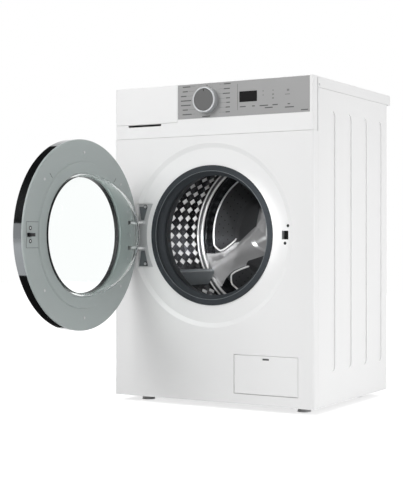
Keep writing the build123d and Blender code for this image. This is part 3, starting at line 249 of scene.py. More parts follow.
def shader(name, code, rough, metal=0.0, grain=0.0, grain_mm=1.0, stretch=(1, 1, 1), spread=0.04, **extra):
    """A material with a grain of a real size: it varies the roughness and tilts the surface a little."""
    made = bpy.data.materials.new(name)
    made.use_nodes = True
    tree = made.node_tree
    bsdf = tree.nodes["Principled BSDF"]
    place = node(tree, "ShaderNodeTexCoord").outputs["Object"]
    place = node(tree, "ShaderNodeMapping", {"Vector": place, "Scale": stretch}).outputs["Vector"]
    noise = node(tree, "ShaderNodeTexNoise", {"Vector": place, "Scale": 1 / (grain_mm * MM),
                                              "Detail": GRAIN_DETAIL})
    vary = node(tree, "ShaderNodeMapRange", {"Value": noise.outputs["Fac"], "To Min": rough - spread,
                                             "To Max": rough + spread})
    tree.links.new(vary.outputs["Result"], bsdf.inputs["Roughness"])
    if grain:
        bump = node(tree, "ShaderNodeBump", {"Height": noise.outputs["Fac"], "Strength": grain,
                                             "Distance": GRAIN_DEPTH * MM})
        tree.links.new(bump.outputs["Normal"], bsdf.inputs["Normal"])
    bsdf.inputs["Base Color"].default_value = rgb(code)
    bsdf.inputs["Metallic"].default_value = metal
    for key, value in extra.items():
        bsdf.inputs[key.replace("_", " ")].default_value = value
    LOOKS[name] = made
    return made


def make_shaders():
    """All finishes of the part, each with what the real one gives the eye."""
    # Sheet steel, stove-enamelled: bright white with a soft sheen and a very slight waviness
    shader("white_enamel", "#f2f2f2", 0.3, grain=0.006, grain_mm=4.0)
    # ABS, injection moulded: white, a little less glossy than the enamel, with a fine even texture
    shader("white_plastic", "#f3f3f3", 0.36, grain=0.02, grain_mm=0.8)
    # Melamine laminate, pressed on board: white and satin
    shader("white_laminate", "#f2f2f2", 0.4, grain=0.02, grain_mm=1.2)
    # Polycarbonate film, painted silver behind: grey with fine lines along the panel
    shader("grey_overlay", "#999999", 0.42, metal=0.15, grain=0.06, grain_mm=0.5, stretch=(0.04, 1, 1))
    # Acrylic, tinted: a flat black window with little glare
    shader("display_black", "#070707", 0.35, Specular_IOR_Level=0.12)
    # Glass fibre laminate under solder resist: matt green
    shader("board_green", "#1c5a36", 0.5, grain=0.1, grain_mm=1.5)
    # Polypropylene, injection moulded: pale grey and satin
    shader("grey_plastic", "#c4c7c8", 0.45, grain=0.08, grain_mm=0.8)
    # Polyamide, injection moulded: black and satin
    shader("black_plastic", "#17181a", 0.45, grain=0.08, grain_mm=0.8)
    # Sheet steel, hot-dip galvanised: grey metal with a soft cloudy spangle
    shader("galvanised_steel", "#b4b7ba", 0.42, metal=0.9, grain=0.1, grain_mm=9.0)
    # Steel, zinc-plated and passivated: pale, dull silver
    shader("zinc_steel", "#cccdce", 0.42, metal=0.5, grain=0.06, grain_mm=0.7)
    # EPDM rubber, compression moulded: dark grey and matt
    shader("gasket_rubber", "#363a3e", 0.65, grain=0.12, grain_mm=0.7, Specular_IOR_Level=0.2)
    # The same rubber at the gasket's lip, smoother, and paler as a painted highlight along its edge
    shader("rubber_painted_highlight", "#6d7275", 0.35)
    # Spring wire, oil-hardened: dark metal with marks along its turns
    shader("spring_steel", "#55585a", 0.35, metal=0.9, grain=0.3, grain_mm=3.0, stretch=(0.1, 0.1, 1))
    # ABS, injection moulded and semi gloss: cool mid grey
    shader("door_grey", "#a9b1b0", 0.3, grain=0.05, grain_mm=0.7)
    # ABS, chrome-plated and polished: a mirror, slightly dark, its darker colour a painted dark reflection
    shader("door_chrome", "#7b7e80", 0.07, metal=1.0, spread=0.02)
    # Borosilicate glass, pressed and fire-polished: clear, and thin enough to bend little light
    shader("door_glass", "#fbfefd", 0.02, spread=0.01, Transmission_Weight=1.0, IOR=1.06)
    # ABS, painted silver: a pale metal look with a broad sheen
    shader("knob_metal", "#c4c6c8", 0.3, metal=0.55, spread=0.03)
    # ABS, painted: dark grey and satin
    shader("knob_grey", "#5d5d5d", 0.4, grain=0.05, grain_mm=0.5)
    # Polypropylene with mineral filler, injection moulded: dark grey, dull and slightly rough
    shader("tub_plastic", "#34373a", 0.5, grain=0.1, grain_mm=1.5)
    # Bearing steel, ground: bright and smooth
    shader("bearing_steel", "#c8cacc", 0.2, metal=1.0)
    # Grey iron, sand cast: dark, dull and coarse
    shader("cast_iron", "#4a4b4d", 0.7, metal=0.3, grain=0.4, grain_mm=2.5)
    # Aluminium, die cast: pale metal with a fine rough skin
    shader("motor_alloy", "#a9acaf", 0.4, metal=0.9, grain=0.15, grain_mm=1.2)
    # Stainless steel sheet, bright annealed: a clear mirror
    shader("stainless_steel", "#c4c5c7", 0.09, metal=1.0, spread=0.03)
    # The same sheet rolled into the drum's wall, painted dark: a painted reflection of the dark inside
    shader("stainless_painted_dark", "#3a3b3d", 0.16, metal=1.0, spread=0.05)
    # The same sheet, brushed, of the drum's back: dull, and dark between the arms with painted shade
    shader("stainless_painted_shade", "#4e4f51", 0.3, metal=0.6, spread=0.05)
    # The same sheet, deep drawn into the star: pale, with broad soft highlights
    shader("stainless_drawn", "#ececed", 0.2, metal=0.65, spread=0.04)
    # The same sheet, curled into the seam: pure white, a painted highlight along the bead
    shader("stainless_painted_bright", "#ffffff", 0.16, metal=0.7, spread=0.03)
    # The same sheet, embossed with pads: white, painted glints on the pads and painted highlights on the
    # rims
    shader("stainless_painted_glints", "#ffffff", 0.2, metal=0.25, spread=0.03)
    # Polypropylene, injection moulded: mid grey and satin; also the painted shade in the hinge bracket's
    # recesses
    shader("grey_polypropylene_and_shade", "#686d70", 0.35, grain=0.05, grain_mm=0.8)
    # Screen-printing ink: matt, black for the knob, dark grey for the marks and paler for the lamps; the
    # dark grey is also painted shade in the door's grooves and the flap's notch
    shader("ink_black", "#161616", 0.5)
    shader("dark_ink_and_shade", "#4c4c4c", 0.5)
    shader("ink_pale", "#747474", 0.5)
    # Painted shade: black without glare, in holes and openings whose insides lie in shadow
    shader("painted_hole_shade", "#0d0e0f", 0.6)


def bar(x0, x1, y0, y1, z0, z1):
    """Corners and faces of a box, from millimetres."""
    corners = [(x * MM, y * MM, z * MM) for x in (x0, x1) for y in (y0, y1) for z in (z0, z1)]
    faces = [(0, 1, 3, 2), (4, 6, 7, 5), (0, 4, 5, 1), (2, 3, 7, 6), (0, 2, 6, 4), (1, 5, 7, 3)]
    return corners, faces


def mesh(name, pieces):
    """One mesh from several (corners, faces) pieces."""
    points, faces = [], []
    for corners, polygons in pieces:
        start = len(points)
        points += corners
        faces += [tuple(i + start for i in polygon) for polygon in polygons]
    made = bpy.data.meshes.new(name)
    made.from_pydata(points, [], faces)
    made.validate()
    return made


def show(name, data, look, body, slot):
    """Put a mesh in the scene with a material, riding on a body of the part."""
    data.materials.clear()
    data.materials.append(LOOKS[look])
    made = bpy.data.objects.new(name, data)
    bpy.context.scene.collection.objects.link(made)
    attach(made, body)


def repeat_group():
    """Node group that sets one piece on every point, turned to that point's two directions."""
    found = bpy.data.node_groups.get("Repeat on points")
    if found:
        return found
    tree = bpy.data.node_groups.new("Repeat on points", "GeometryNodeTree")
    tree.interface.new_socket("Points", in_out="INPUT", socket_type="NodeSocketGeometry")
    tree.interface.new_socket("Piece", in_out="INPUT", socket_type="NodeSocketObject")
    tree.interface.new_socket("Material", in_out="INPUT", socket_type="NodeSocketMaterial")
    tree.interface.new_socket("Pieces", in_out="OUTPUT", socket_type="NodeSocketGeometry")
    entry = node(tree, "NodeGroupInput")
    facing = node(tree, "GeometryNodeInputNamedAttribute", {"Name": "facing"}, data_type="FLOAT_VECTOR")
    along = node(tree, "GeometryNodeInputNamedAttribute", {"Name": "along"}, data_type="FLOAT_VECTOR")
    turn = node(tree, "FunctionNodeAlignRotationToVector", {"Vector": facing.outputs["Attribute"]}, axis="Z")
    turn = node(tree, "FunctionNodeAlignRotationToVector",
                {"Rotation": turn.outputs["Rotation"], "Vector": along.outputs["Attribute"]},
                axis="X", pivot_axis="Z")
    piece = node(tree, "GeometryNodeObjectInfo", {"Object": entry.outputs["Piece"]})
    copies = node(tree, "GeometryNodeInstanceOnPoints",
                  {"Points": entry.outputs["Points"], "Instance": piece.outputs["Geometry"],
                   "Rotation": turn.outputs["Rotation"]})
    solid = node(tree, "GeometryNodeRealizeInstances", {"Geometry": copies.outputs["Instances"]})
    painted = node(tree, "GeometryNodeSetMaterial",
                   {"Geometry": solid.outputs["Geometry"], "Material": entry.outputs["Material"]})
    node(tree, "NodeGroupOutput", {"Pieces": painted.outputs["Geometry"]})
    return tree


def bead_group():
    """Node group that lays a round bead along the edges of a mesh."""
    found = bpy.data.node_groups.get("Bead along edges")
    if found:
        return found
    tree = bpy.data.node_groups.new("Bead along edges", "GeometryNodeTree")
    tree.interface.new_socket("Path", in_out="INPUT", socket_type="NodeSocketGeometry")
    tree.interface.new_socket("Thickness", in_out="INPUT", socket_type="NodeSocketFloat")
    tree.interface.new_socket("Material", in_out="INPUT", socket_type="NodeSocketMaterial")
    tree.interface.new_socket("Bead", in_out="OUTPUT", socket_type="NodeSocketGeometry")
    entry = node(tree, "NodeGroupInput")
    path = node(tree, "GeometryNodeMeshToCurve", {"Mesh": entry.outputs["Path"]})
    profile = node(tree, "GeometryNodeCurvePrimitiveCircle",
                   {"Resolution": 12, "Radius": entry.outputs["Thickness"]})
    swept = node(tree, "GeometryNodeCurveToMesh",
                 {"Curve": path.outputs["Curve"], "Profile Curve": profile.outputs["Curve"]})
    solid = node(tree, "GeometryNodeRealizeInstances", {"Geometry": swept.outputs["Mesh"]})
    rounded = node(tree, "GeometryNodeSetShadeSmooth", {"Geometry": solid.outputs["Geometry"]})
    painted = node(tree, "GeometryNodeSetMaterial",
                   {"Geometry": rounded.outputs["Geometry"], "Material": entry.outputs["Material"]})
    node(tree, "NodeGroupOutput", {"Bead": painted.outputs["Geometry"]})
    return tree


def grown(name, seed, group, inputs):
    """Plain mesh that a node group makes from a seed mesh."""
    carrier = bpy.data.objects.new(name + "_seed", seed)
    bpy.context.scene.collection.objects.link(carrier)
    modifier = carrier.modifiers.new("Grow", "NODES")
    modifier.node_group = group
    for item in group.interface.items_tree:
        if item.in_out == "INPUT" and item.name in inputs:
            modifier[item.identifier] = inputs[item.name]
    bpy.context.view_layer.update()
    graph = bpy.context.evaluated_depsgraph_get()
    data = bpy.data.meshes.new_from_object(carrier.evaluated_get(graph), depsgraph=graph)
    bpy.data.objects.remove(carrier)
    data.name = name
    return data


def repeated(name, places, piece, look, body, slot):
    """Pieces on a list of (point, facing, along) places, built by the node group into one plain mesh."""
    seed = bpy.data.meshes.new(name + "_points")
    seed.from_pydata([p for p, _, _ in places], [], [])
    for index, label in ((1, "facing"), (2, "along")):
        field = seed.attributes.new(label, "FLOAT_VECTOR", "POINT")
        field.data.foreach_set("vector", [c for place in places for c in place[index]])
    single = bpy.data.objects.new(name + "_piece", piece)
    bpy.context.scene.collection.objects.link(single)
    data = grown(name, seed, repeat_group(), {"Piece": single, "Material": LOOKS[look]})
    bpy.data.objects.remove(single)
    show(name, data, look, body, slot)


def beaded(name, loops, thick, look, body, slot):
    """Round beads along closed loops of points in millimetres, as one plain mesh from the node group."""
    points, links = [], []
    for loop in loops:
        start = len(points)
        points += [Vector(p) * MM for p in loop]
        links += [(start + i, start + (i + 1) % len(loop)) for i in range(len(loop))]
    seed = bpy.data.meshes.new(name + "_path")
    seed.from_pydata(points, links, [])
    data = grown(name, seed, bead_group(), {"Thickness": thick * MM, "Material": LOOKS[look]})
    show(name, data, look, body, slot)


def disc_piece(radius, height, sides):
    """A low disc on the point, towards +Z."""
    angles = [2 * math.pi * i / sides for i in range(sides)]
    ring = [(radius * MM * math.cos(a), radius * MM * math.sin(a)) for a in angles]
    corners = [(x, y, 0.0) for x, y in ring] + [(x, y, height * MM) for x, y in ring]
    walls = [(i, (i + 1) % sides, sides + (i + 1) % sides, sides + i) for i in range(sides)]
    faces = walls + [tuple(range(sides, 2 * sides)), tuple(reversed(range(sides)))]
    return mesh("disc", [(corners, faces)])


def pad_piece(length, width, height):
    """A low pressed diamond on the point, towards +Z."""
    corners = [(length / 2, 0, 0), (0, width / 2, 0), (-length / 2, 0, 0), (0, -width / 2, 0)]
    corners += [(x * PAD_TOP, y * PAD_TOP, height) for x, y, _ in corners]
    corners = [(x * MM, y * MM, z * MM) for x, y, z in corners]
    walls = [(i, (i + 1) % 4, 4 + (i + 1) % 4, 4 + i) for i in range(4)]
    return mesh("pad", [(corners, walls + [(4, 5, 6, 7), (3, 2, 1, 0)])])


class WasherSettings(bpy.types.PropertyGroup):
    """Sizes of the drum's pattern and the printing"""
    hole_columns: bpy.props.IntProperty(name="Hole columns", default=60, min=8, max=120,
                                        description="Columns of holes round the drum's wall")
    hole_rows: bpy.props.IntProperty(name="Hole rows", default=11, min=2, max=40,
                                     description="Rows of holes along the drum's wall")
    hole_radius: bpy.props.FloatProperty(name="Hole radius", default=2.0 * MM, unit="LENGTH",
                                         description="Radius of one hole in the drum's wall")
    print_height: bpy.props.FloatProperty(name="Print height", default=0.12 * MM, unit="LENGTH",
                                          description="How far the printed marks stand out of the overlay")


class StageSettings(bpy.types.PropertyGroup):
    """Powers of the lights, and the lens"""
    key_power: bpy.props.FloatProperty(name="Key light", default=65.0, unit="POWER",
                                       description="Power of the large light in front of the machine")
    side_power: bpy.props.FloatProperty(name="Side light", default=6.0, unit="POWER",
                                        description="Power of the light on the machine's right side")
    fill_power: bpy.props.FloatProperty(name="Fill light", default=380.0, unit="POWER",
                                        description="Power of the light that reaches into the drum")
    drum_power: bpy.props.FloatProperty(name="Drum light", default=160.0, unit="POWER",
                                        description="Power of the light on the star of the drum's back")
    lens: bpy.props.FloatProperty(name="Lens", default=87.05, unit="CAMERA",
                                  description="Focal length on a 36 mm wide sensor")


class WASHER_OT_finishes(bpy.types.Operator):
    """Give every node of the part the material of its slot, or its special one"""
    bl_idname = "washer.finishes"
    bl_label = "Finishes"

    def execute(self, context):
        make_shaders()
        for name, piece in frame["nodes"].items():
            piece.data.materials.clear()
            piece.data.materials.append(LOOKS[SPECIAL_LOOKS.get(name, SLOTS[name])])
        return {"FINISHED"}


class WASHER_OT_flexible(bpy.types.Operator):
    """Copy the gasket, sump hose and springs, which join the cabinet to the floating tub, into pieces of
    their own, and hide their solid nodes
    """
    bl_idname = "washer.flexible"
    bl_label = "Flexible pieces"

    def execute(self, context):
        for name, start, end in FLEXIBLE:
            solid = frame["nodes"][name]
            piece = bpy.data.objects.new(name + "_flexible", solid.data.copy())
            piece.matrix_world = solid.matrix_world
            context.scene.collection.objects.link(piece)
            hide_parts(name)
            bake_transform(piece)
        return {"FINISHED"}


class WASHER_OT_markings(bpy.types.Operator):
    """Add the printed bars, lines and lamps of the control overlay, and the mark of the knob"""
    bl_idname = "washer.markings"
    bl_label = "Markings"

    def execute(self, context):
        out = FRONT_Y - context.scene.washer.print_height / MM
        words = [print_bar((x - w / 2, x + w / 2, z - WORD_HALF, z + WORD_HALF), out)
                 for x, z, w in LEFT_WORDS + RIGHT_WORDS + KEY_WORDS]
        show("overlay_words", mesh("overlay_words", words), "dark_ink_and_shade", "cabinet", "grey_overlay")
        lines = [print_bar(DIVIDER, out)]
        left_end, right_end = LEADER_ENDS
        for x, z, w in LEFT_WORDS:
            sides = (x + w / 2 + LEADER_GAP, left_end, z - LEADER_HALF, z + LEADER_HALF)
            lines.append(print_bar(sides, out))
        for x, z, w in RIGHT_WORDS:
            sides = (right_end, x - w / 2 - LEADER_GAP, z - LEADER_HALF, z + LEADER_HALF)
            lines.append(print_bar(sides, out))
        show("overlay_lines", mesh("overlay_lines", lines), "dark_ink_and_shade", "cabinet", "grey_overlay")
        lamps = [print_bar((x - r, x + r, z - r * LAMP_FLAT, z + r * LAMP_FLAT), out) for x, z, r in LAMPS]
        lamps.append(print_bar(LAMP_BAR, out))
        show("overlay_lamps", mesh("overlay_lamps", lamps), "ink_pale", "cabinet", "grey_overlay")
        x, z = KNOB
        top = z + KNOB_MARK_RISE
        mark = bar(x - MARK_HALF, x + MARK_HALF, KNOB_FACE_Y - MARK_HEIGHT, KNOB_FACE_Y,
                   top - KNOB_MARK_REACH, top + KNOB_MARK_REACH)
        show("knob_mark", mesh("knob_mark", [mark]), "ink_black", "knob", "knob_grey")
        arrow = print_bar((x - MARK_HALF, x + MARK_HALF, *ARROW_HEIGHTS), out)
        show("overlay_arrow", mesh("overlay_arrow", [arrow]), "dark_ink_and_shade", "cabinet", "grey_overlay")
        return {"FINISHED"}


def print_bar(sides, out):
    """A printed bar on the overlay, from its x and z sides."""
    x0, x1, z0, z1 = sides
    return bar(x0, x1, out, FRONT_Y, z0, z1)


class WASHER_OT_drum(bpy.types.Operator):
    """Add the holes and pads of the drum's wall, and the holes, beads, star and rims of its back"""
    bl_idname = "washer.drum"
    bl_label = "Drum pattern"

    def execute(self, context):
        settings = context.scene.washer
        low, high = DRUM_DEPTHS
        holes, pads = [], []
        for row in range(settings.hole_rows):
            y = low + (high - low) * row / (settings.hole_rows - 1)
            for column in range(settings.hole_columns):
                angle = 360 * (column + 0.5 * (row % 2)) / settings.hole_columns
                if any(angle_between(angle, lifter) < LIFTER_GAP for lifter in LIFTER_ANGLES):
                    continue
                (holes if row % 2 else pads).append(wall_place(angle, y))
        hole = (settings.hole_radius / MM, HOLE_HEIGHT, HOLE_SIDES)
        steel = ("drum", "stainless_steel")
        # Black discs on the wall: painted shade in its holes
        repeated("drum_holes", holes, disc_piece(*hole), "painted_hole_shade", *steel)
        # White pads: painted glints
        repeated("drum_pads", pads, pad_piece(*PAD_SIZE), "stainless_painted_glints", *steel)
        # Pure white beads at the seam and the hoop: painted highlights
        for name, radius, y, thick in HOOPS:
            beaded(name, [ring_loop(radius, y)], thick, "stainless_painted_bright", *steel)
        # A dark ring on the corner of the back: painted dark reflection
        show("drum_corner", corner_shade_mesh(), "stainless_painted_dark", *steel)
        show("drum_star", star_mesh(), "stainless_drawn", *steel)
        # Rims in the white of the pads: painted highlights
        beaded("drum_rims", [rim_loop(arm) for arm in ARM_ANGLES], RIM_BEAD, "stainless_painted_glints", *steel)
        # Black discs on the back: painted shade in its holes
        repeated("drum_back_holes", back_places(), disc_piece(*hole), "painted_hole_shade", *steel)
        return {"FINISHED"}


def angle_between(one, other):
    """Degrees from one angle to another, the short way round."""
    return abs((one - other + 180) % 360 - 180)


def back_places():
    """Points of the drum's back in rings, facing the door."""
    places = []
    for ring in range(BACK_RINGS):
        radius = BACK_RADIUS + BACK_PITCH * ring
        count = BACK_COUNT + BACK_MORE * ring
        for i in range(count):
            point = Vector(drum_point(radius, 360 * (i + 0.5 * (ring % 2)) / count, DRUM_BACK_Y)) * MM
            places.append((point, (0, -1, 0), (1, 0, 0)))
    return places


def drum_point(radius, angle, y):
    """A point of the drum in millimetres, from its radius and angle about the axis."""
    a = math.radians(angle)
    return radius * math.cos(a), y, AXIS_Z + radius * math.sin(a)


def ring_loop(radius, y):
    """A circle about the drum's axis, as points in millimetres."""
    return [drum_point(radius, 360 * i / RING_STEPS, y) for i in range(RING_STEPS)]


def corner_shade_mesh():
    """Painted dark reflection on the deep-drawn corner of the drum's back: a dark ring between the
    perforated fields and the bead.
    """
    steps = RING_STEPS
    rings = [ring_loop(radius, DRUM_BACK_Y - CORNER_SHADE_LIFT) for radius in (RIM_RADII[1], STAR_RADIUS)]
    corners = [Vector(point) * MM for ring in rings for point in ring]
    faces = [(i, (i + 1) % steps, steps + (i + 1) % steps, steps + i) for i in range(steps)]
    return mesh("drum_corner", [(corners, faces)])


def arm_half(radius):
    """Half the width of the star's arm, which widens into the hub and towards the wall."""
    flare = max(0.0, radius - ARM_FLARE_FROM) / (STAR_RADIUS - ARM_FLARE_FROM)
    return ARM_HALF + ARM_ROOT * math.exp(-((radius / ARM_ROOT_REACH) ** 2)) + ARM_FLARE * flare ** 2


def rim_loop(arm):
    """Outline of the perforated field that follows an arm of the star, with rounded corners."""
    inner, outer = RIM_RADII
    steps = 12
    flank = []
    for i in range(steps + 1):
        radius = inner + (outer - RIM_CORNER - inner) * i / steps
        flank.append((radius, math.degrees(math.asin(min(1.0, (arm_half(radius) + RIM_GAP) / radius)))))
    edge = math.degrees(math.asin((arm_half(outer) + RIM_GAP + RIM_CORNER) / outer))
    arc = [(outer, edge + (ARM_PITCH - 2 * edge) * i / (2 * steps)) for i in range(2 * steps + 1)]
    back = [(radius, ARM_PITCH - angle) for radius, angle in reversed(flank)]
    loop = [drum_point(radius, arm - angle, DRUM_BACK_Y) for radius, angle in flank + arc + back]
    return eased(eased(loop))


def eased(loop):
    """A closed loop with each corner cut, so that two passes round it."""
    points = [Vector(p) for p in loop]
    pairs = zip(points, points[1:] + points[:1])
    return [p for a, b in pairs for p in (a.lerp(b, 0.25), a.lerp(b, 0.75))]


def star_rise(radius, angle):
    """Height of the pressed star above the drum's back, in millimetres."""
    turn = min(angle_between(angle, arm) for arm in ARM_ANGLES)
    aside = radius * math.sin(math.radians(min(turn, 90)))
    across = min(1.0, aside / arm_half(radius))
    outward = min(1.0, max(0.0, (STAR_RADIUS - radius) / ARM_END))
    rise = ARM_RISE * (0.5 + 0.5 * math.cos(math.pi * across)) * outward ** 0.5
    return rise - (HUB_SINK if radius < HUB_RADIUS else 0.0)


def star_mesh():
    """The pressed star of the drum's back: three arms, each a ridge with two flanks, and a sunk hub."""
    around, across = 360, 54
    corners = [(0, (DRUM_BACK_Y - star_rise(0, 0)) * MM, AXIS_Z * MM)]
    raised = [True]
    for ring in range(1, across + 1):
        radius = STAR_RADIUS * ring / across
        for i in range(around):
            rise = star_rise(radius, i)
            corners.append(Vector(drum_point(radius, i, DRUM_BACK_Y + STAR_SINK - rise)) * MM)
            raised.append(rise > 0)
    faces = [(0, 1 + (i + 1) % around, 1 + i) for i in range(around)]
    for ring in range(across - 1):
        near, far = 1 + ring * around, 1 + (ring + 1) * around
        for i in range(around):
            faces.append((near + i, near + (i + 1) % around, far + (i + 1) % around, far + i))
    made = mesh("drum_star", [(corners, [f for f in faces if any(raised[i] for i in f)])])
    for polygon in made.polygons:
        polygon.use_smooth = True
    return made


def wall_place(angle, y):
    """A point on the drum's inner wall, facing its axis."""
    a = math.radians(angle)
    return Vector(drum_point(DRUM_WALL, angle, y)) * MM, (-math.cos(a), 0, -math.sin(a)), (0, 1, 0)


class WASHER_OT_details(bpy.types.Operator):
    """Add the small details of the door, the gasket, the lock, the hinge bracket, the flap and the side"""
    bl_idname = "washer.details"
    bl_label = "Small details"

    def execute(self, context):
        # Dark marks in the door's grooves: painted shade
        show("door_grooves", mesh("door_grooves", door_grooves()), "dark_ink_and_shade", "door", "door_grey")
        show("latch_outline", mesh("latch_outline", latch_lines()), "dark_ink_and_shade", "door", "door_grey")
        screws = [side_place(PLATE_HIGH.x, y, z) for y, z in LATCH_SCREWS]
        # Black discs round the latch screws: painted shadow
        repeated("latch_sinks", screws, disc_piece(*LATCH_SCREW_SHADOW), "painted_hole_shade", "door", "door_grey")
        repeated("latch_heads", screws, disc_piece(*LATCH_HEAD), "zinc_steel", "door", "zinc_steel")
        show("glass_seal", seal_mesh(), "black_plastic", "door", "gasket_rubber")
        # A dark bar in the flap's notch: painted shade
        show("flap_notch", mesh("flap_notch", [bar(*FLAP_NOTCH_SHADE)]), "dark_ink_and_shade", "flap", "white_plastic")
        # Black discs on the lock's front: painted shade in its holes
        holes = [front_place(x, LOCK_LOW.y, z) for x, z in LOCK_HOLES]
        repeated("lock_holes", holes, disc_piece(*LOCK_HOLE), "painted_hole_shade", "cabinet", "grey_plastic")
        # A black sheet at the back of the lock's opening: painted shade
        back = LOCK_HIGH.y - LOCK_WALL
        cavity_shade = bar(*LOCK_CAVITY, back - CAVITY_SHADE_THICK, back, AXIS_Z - LOCK_HALF, AXIS_Z + LOCK_HALF)
        show("lock_lining", mesh("lock_lining", [cavity_shade]), "painted_hole_shade", "cabinet", "grey_plastic")
        # A paler bead on the gasket's lip: painted highlight
        lip = ring_loop(LIP_RADIUS, GASKET_FRONT_Y + LIP_DEPTH)
        beaded("gasket_lip", [lip], LIP_BEAD, "rubber_painted_highlight", "cabinet", "gasket_rubber")
        # Grey plates in the hinge bracket's recesses: painted shade
        recess_shades = [plate_xz(shape, HINGE_FACE_Y - MARK_HEIGHT, HINGE_FACE_Y) for shape in HINGE_RECESS_SHADES]
        recess_shades = mesh("hinge_recesses", recess_shades)
        show("hinge_recesses", recess_shades, "grey_polypropylene_and_shade", "cabinet", "zinc_steel")
        # Black discs at the hinge screws: painted shade
        screws = [front_place(x, HINGE_FACE_Y, z) for x, z in HINGE_SCREWS]
        repeated("hinge_washers", screws, disc_piece(*HINGE_SCREW_SHADE), "painted_hole_shade", "cabinet", "zinc_steel")
        screws = [side_place(SIDE_X, y, z) for y, z in SIDE_SCREWS]
        repeated("side_screws", screws, disc_piece(*SIDE_HEAD), "zinc_steel", "cabinet", "zinc_steel")
        return {"FINISHED"}


def front_place(x, y, z):
    """A place on a face towards the front, from millimetres."""
    return Vector((x, y, z)) * MM, (0, -1, 0), (1, 0, 0)


def side_place(x, y, z):
    """A place on a face towards the machine's right, from millimetres."""
    return Vector((x, y, z)) * MM, (1, 0, 0), (0, 0, 1)


def door_grooves():
    """Painted shade of the short grooves in the open door's frame: thin dark marks pointing at the middle of
    its glass.
    """
    grooves = []
    middle = Vector((DOOR_FACE_X, DOOR_MIDDLE_Y, AXIS_Z)) * MM
    for angle in GROOVE_ANGLES:
        corners, faces = bar(-GROOVE_HALF, GROOVE_HALF, 0.0, MARK_HEIGHT, *GROOVE_RADII)
        turn = Matrix.Rotation(math.radians(angle), 3, "Y")
        corners = [turn @ Vector(corner) for corner in corners]
        grooves.append(([middle + Vector((c.y, -c.x, c.z)) for c in corners], faces))
    return grooves


def plate_xz(outline, y0, y1):
    """Corners and faces of a flat piece with an outline in x and z, from millimetres."""
    count = len(outline)
    corners = [(x * MM, y * MM, z * MM) for y in (y0, y1) for x, z in outline]
    walls = [(i, (i + 1) % count, count + (i + 1) % count, count + i) for i in range(count)]
    return corners, walls + [tuple(reversed(range(count))), tuple(range(count, 2 * count))]


def latch_lines():
    """Thin dark joints round the latch plate of the open door."""
    y0, y1 = PLATE_LOW.y - PLATE_GAP, PLATE_HIGH.y + PLATE_GAP
    z0, z1 = PLATE_LOW.z - PLATE_GAP, PLATE_HIGH.z + PLATE_GAP
    depth = (DOOR_FACE_X, DOOR_FACE_X + MARK_HEIGHT)
    level = [bar(*depth, y0, y1, z - JOINT_HALF, z + JOINT_HALF) for z in (z0, z1)]
    upright = [bar(*depth, y - JOINT_HALF, y + JOINT_HALF, z0, z1) for y in (y0, y1)]
    return level + upright


def seal_mesh():
    """The dark seal inside the foot of the door's bowl."""
    steps = 96
    inner = SEAL_RADIUS - SEAL_THICK
    left, right = SEAL_REACH
    corners, faces = [], []
    for i in range(steps):
        a = 2 * math.pi * i / steps
        for radius, x in ((SEAL_RADIUS, left), (SEAL_RADIUS, right), (inner, right), (inner, left)):
            corners.append(Vector((DOOR_FACE_X + x, DOOR_MIDDLE_Y + radius * math.cos(a),
                                   AXIS_Z + radius * math.sin(a))) * MM)
        near, far = 4 * i, 4 * ((i + 1) % steps)
        faces += [(near + j, near + (j + 1) % 4, far + (j + 1) % 4, far + j) for j in range(4)]
    return mesh("glass_seal", [(corners, faces)])


def sees_background(tree):
    """1 for the rays that show the background itself: to the camera, in metal and through glass."""
    path = node(tree, "ShaderNodeLightPath")
    shown = path.outputs["Is Camera Ray"]
    for name in ("Is Glossy Ray", "Is Transmission Ray"):
        either = node(tree, "ShaderNodeMath", {0: shown, 1: path.outputs[name]}, operation="MAXIMUM")
        shown = either.outputs["Value"]
    return shown


def world_light():
    """White where the background is seen; as a light it is weaker near the horizon and on the left."""
    world = bpy.data.worlds.new("Studio")
    bpy.context.scene.world = world
    world.use_nodes = True
    tree = world.node_tree
    back = tree.nodes["Background"]
    place = node(tree, "ShaderNodeTexCoord").outputs["Generated"]
    split = node(tree, "ShaderNodeSeparateXYZ", {"Vector": place})
    rise = node(tree, "ShaderNodeMapRange", {"Value": split.outputs["Z"], **WALL_RISE})
    left = node(tree, "ShaderNodeMapRange", {"Value": split.outputs["X"], **WALL_LEFT})
    shade = node(tree, "ShaderNodeMath", {0: rise.outputs["Result"], 1: left.outputs["Result"]},
                 operation="MULTIPLY")
    mixed = node(tree, "ShaderNodeMix", {"Factor": sees_background(tree), 2: shade.outputs["Value"], 3: 1.0})
    tree.links.new(mixed.outputs["Result"], back.inputs["Color"])


def put(name, data, place, target):
    """Set a light in the scene, turned from its place to its target."""
    made = bpy.data.objects.new(name, data)
    made.location = place
    made.rotation_euler = (Vector(target) - Vector(place)).to_track_quat("-Z", "Y").to_euler()
    bpy.context.scene.collection.objects.link(made)


def area(name, power, place, target, size):
    """A square light that softens its shadows."""
    data = bpy.data.lights.new(name, "AREA")
    data.energy = power
    data.size = size
    put(name, data, place, target)


def spot(name, power, place, target, cone):
    """A narrow light that reaches through the porthole."""
    data = bpy.data.lights.new(name, "SPOT")
    data.energy = power
    data.spot_size = math.radians(cone)
    data.spot_blend = SPOT_BLEND
    data.shadow_soft_size = SPOT_SOFTNESS
    put(name, data, place, target)


def floor_paint():
    """White paint that glows a little where it is seen, so that only a faint shadow shows."""
    paint = bpy.data.materials.new("floor_white")
    paint.use_nodes = True
    tree = paint.node_tree
    diffuse = node(tree, "ShaderNodeBsdfDiffuse", {"Color": rgb("#dcdcdc")})
    glow = node(tree, "ShaderNodeEmission", {"Color": rgb("#ffffff"), "Strength": FLOOR_GLOW})
    pale = node(tree, "ShaderNodeAddShader", {0: diffuse.outputs["BSDF"], 1: glow.outputs["Emission"]})
    mixed = node(tree, "ShaderNodeMixShader", {0: sees_background(tree), 1: diffuse.outputs["BSDF"],
                                               2: pale.outputs["Shader"]})
    tree.links.new(mixed.outputs["Shader"], tree.nodes["Material Output"].inputs["Surface"])
    return paint


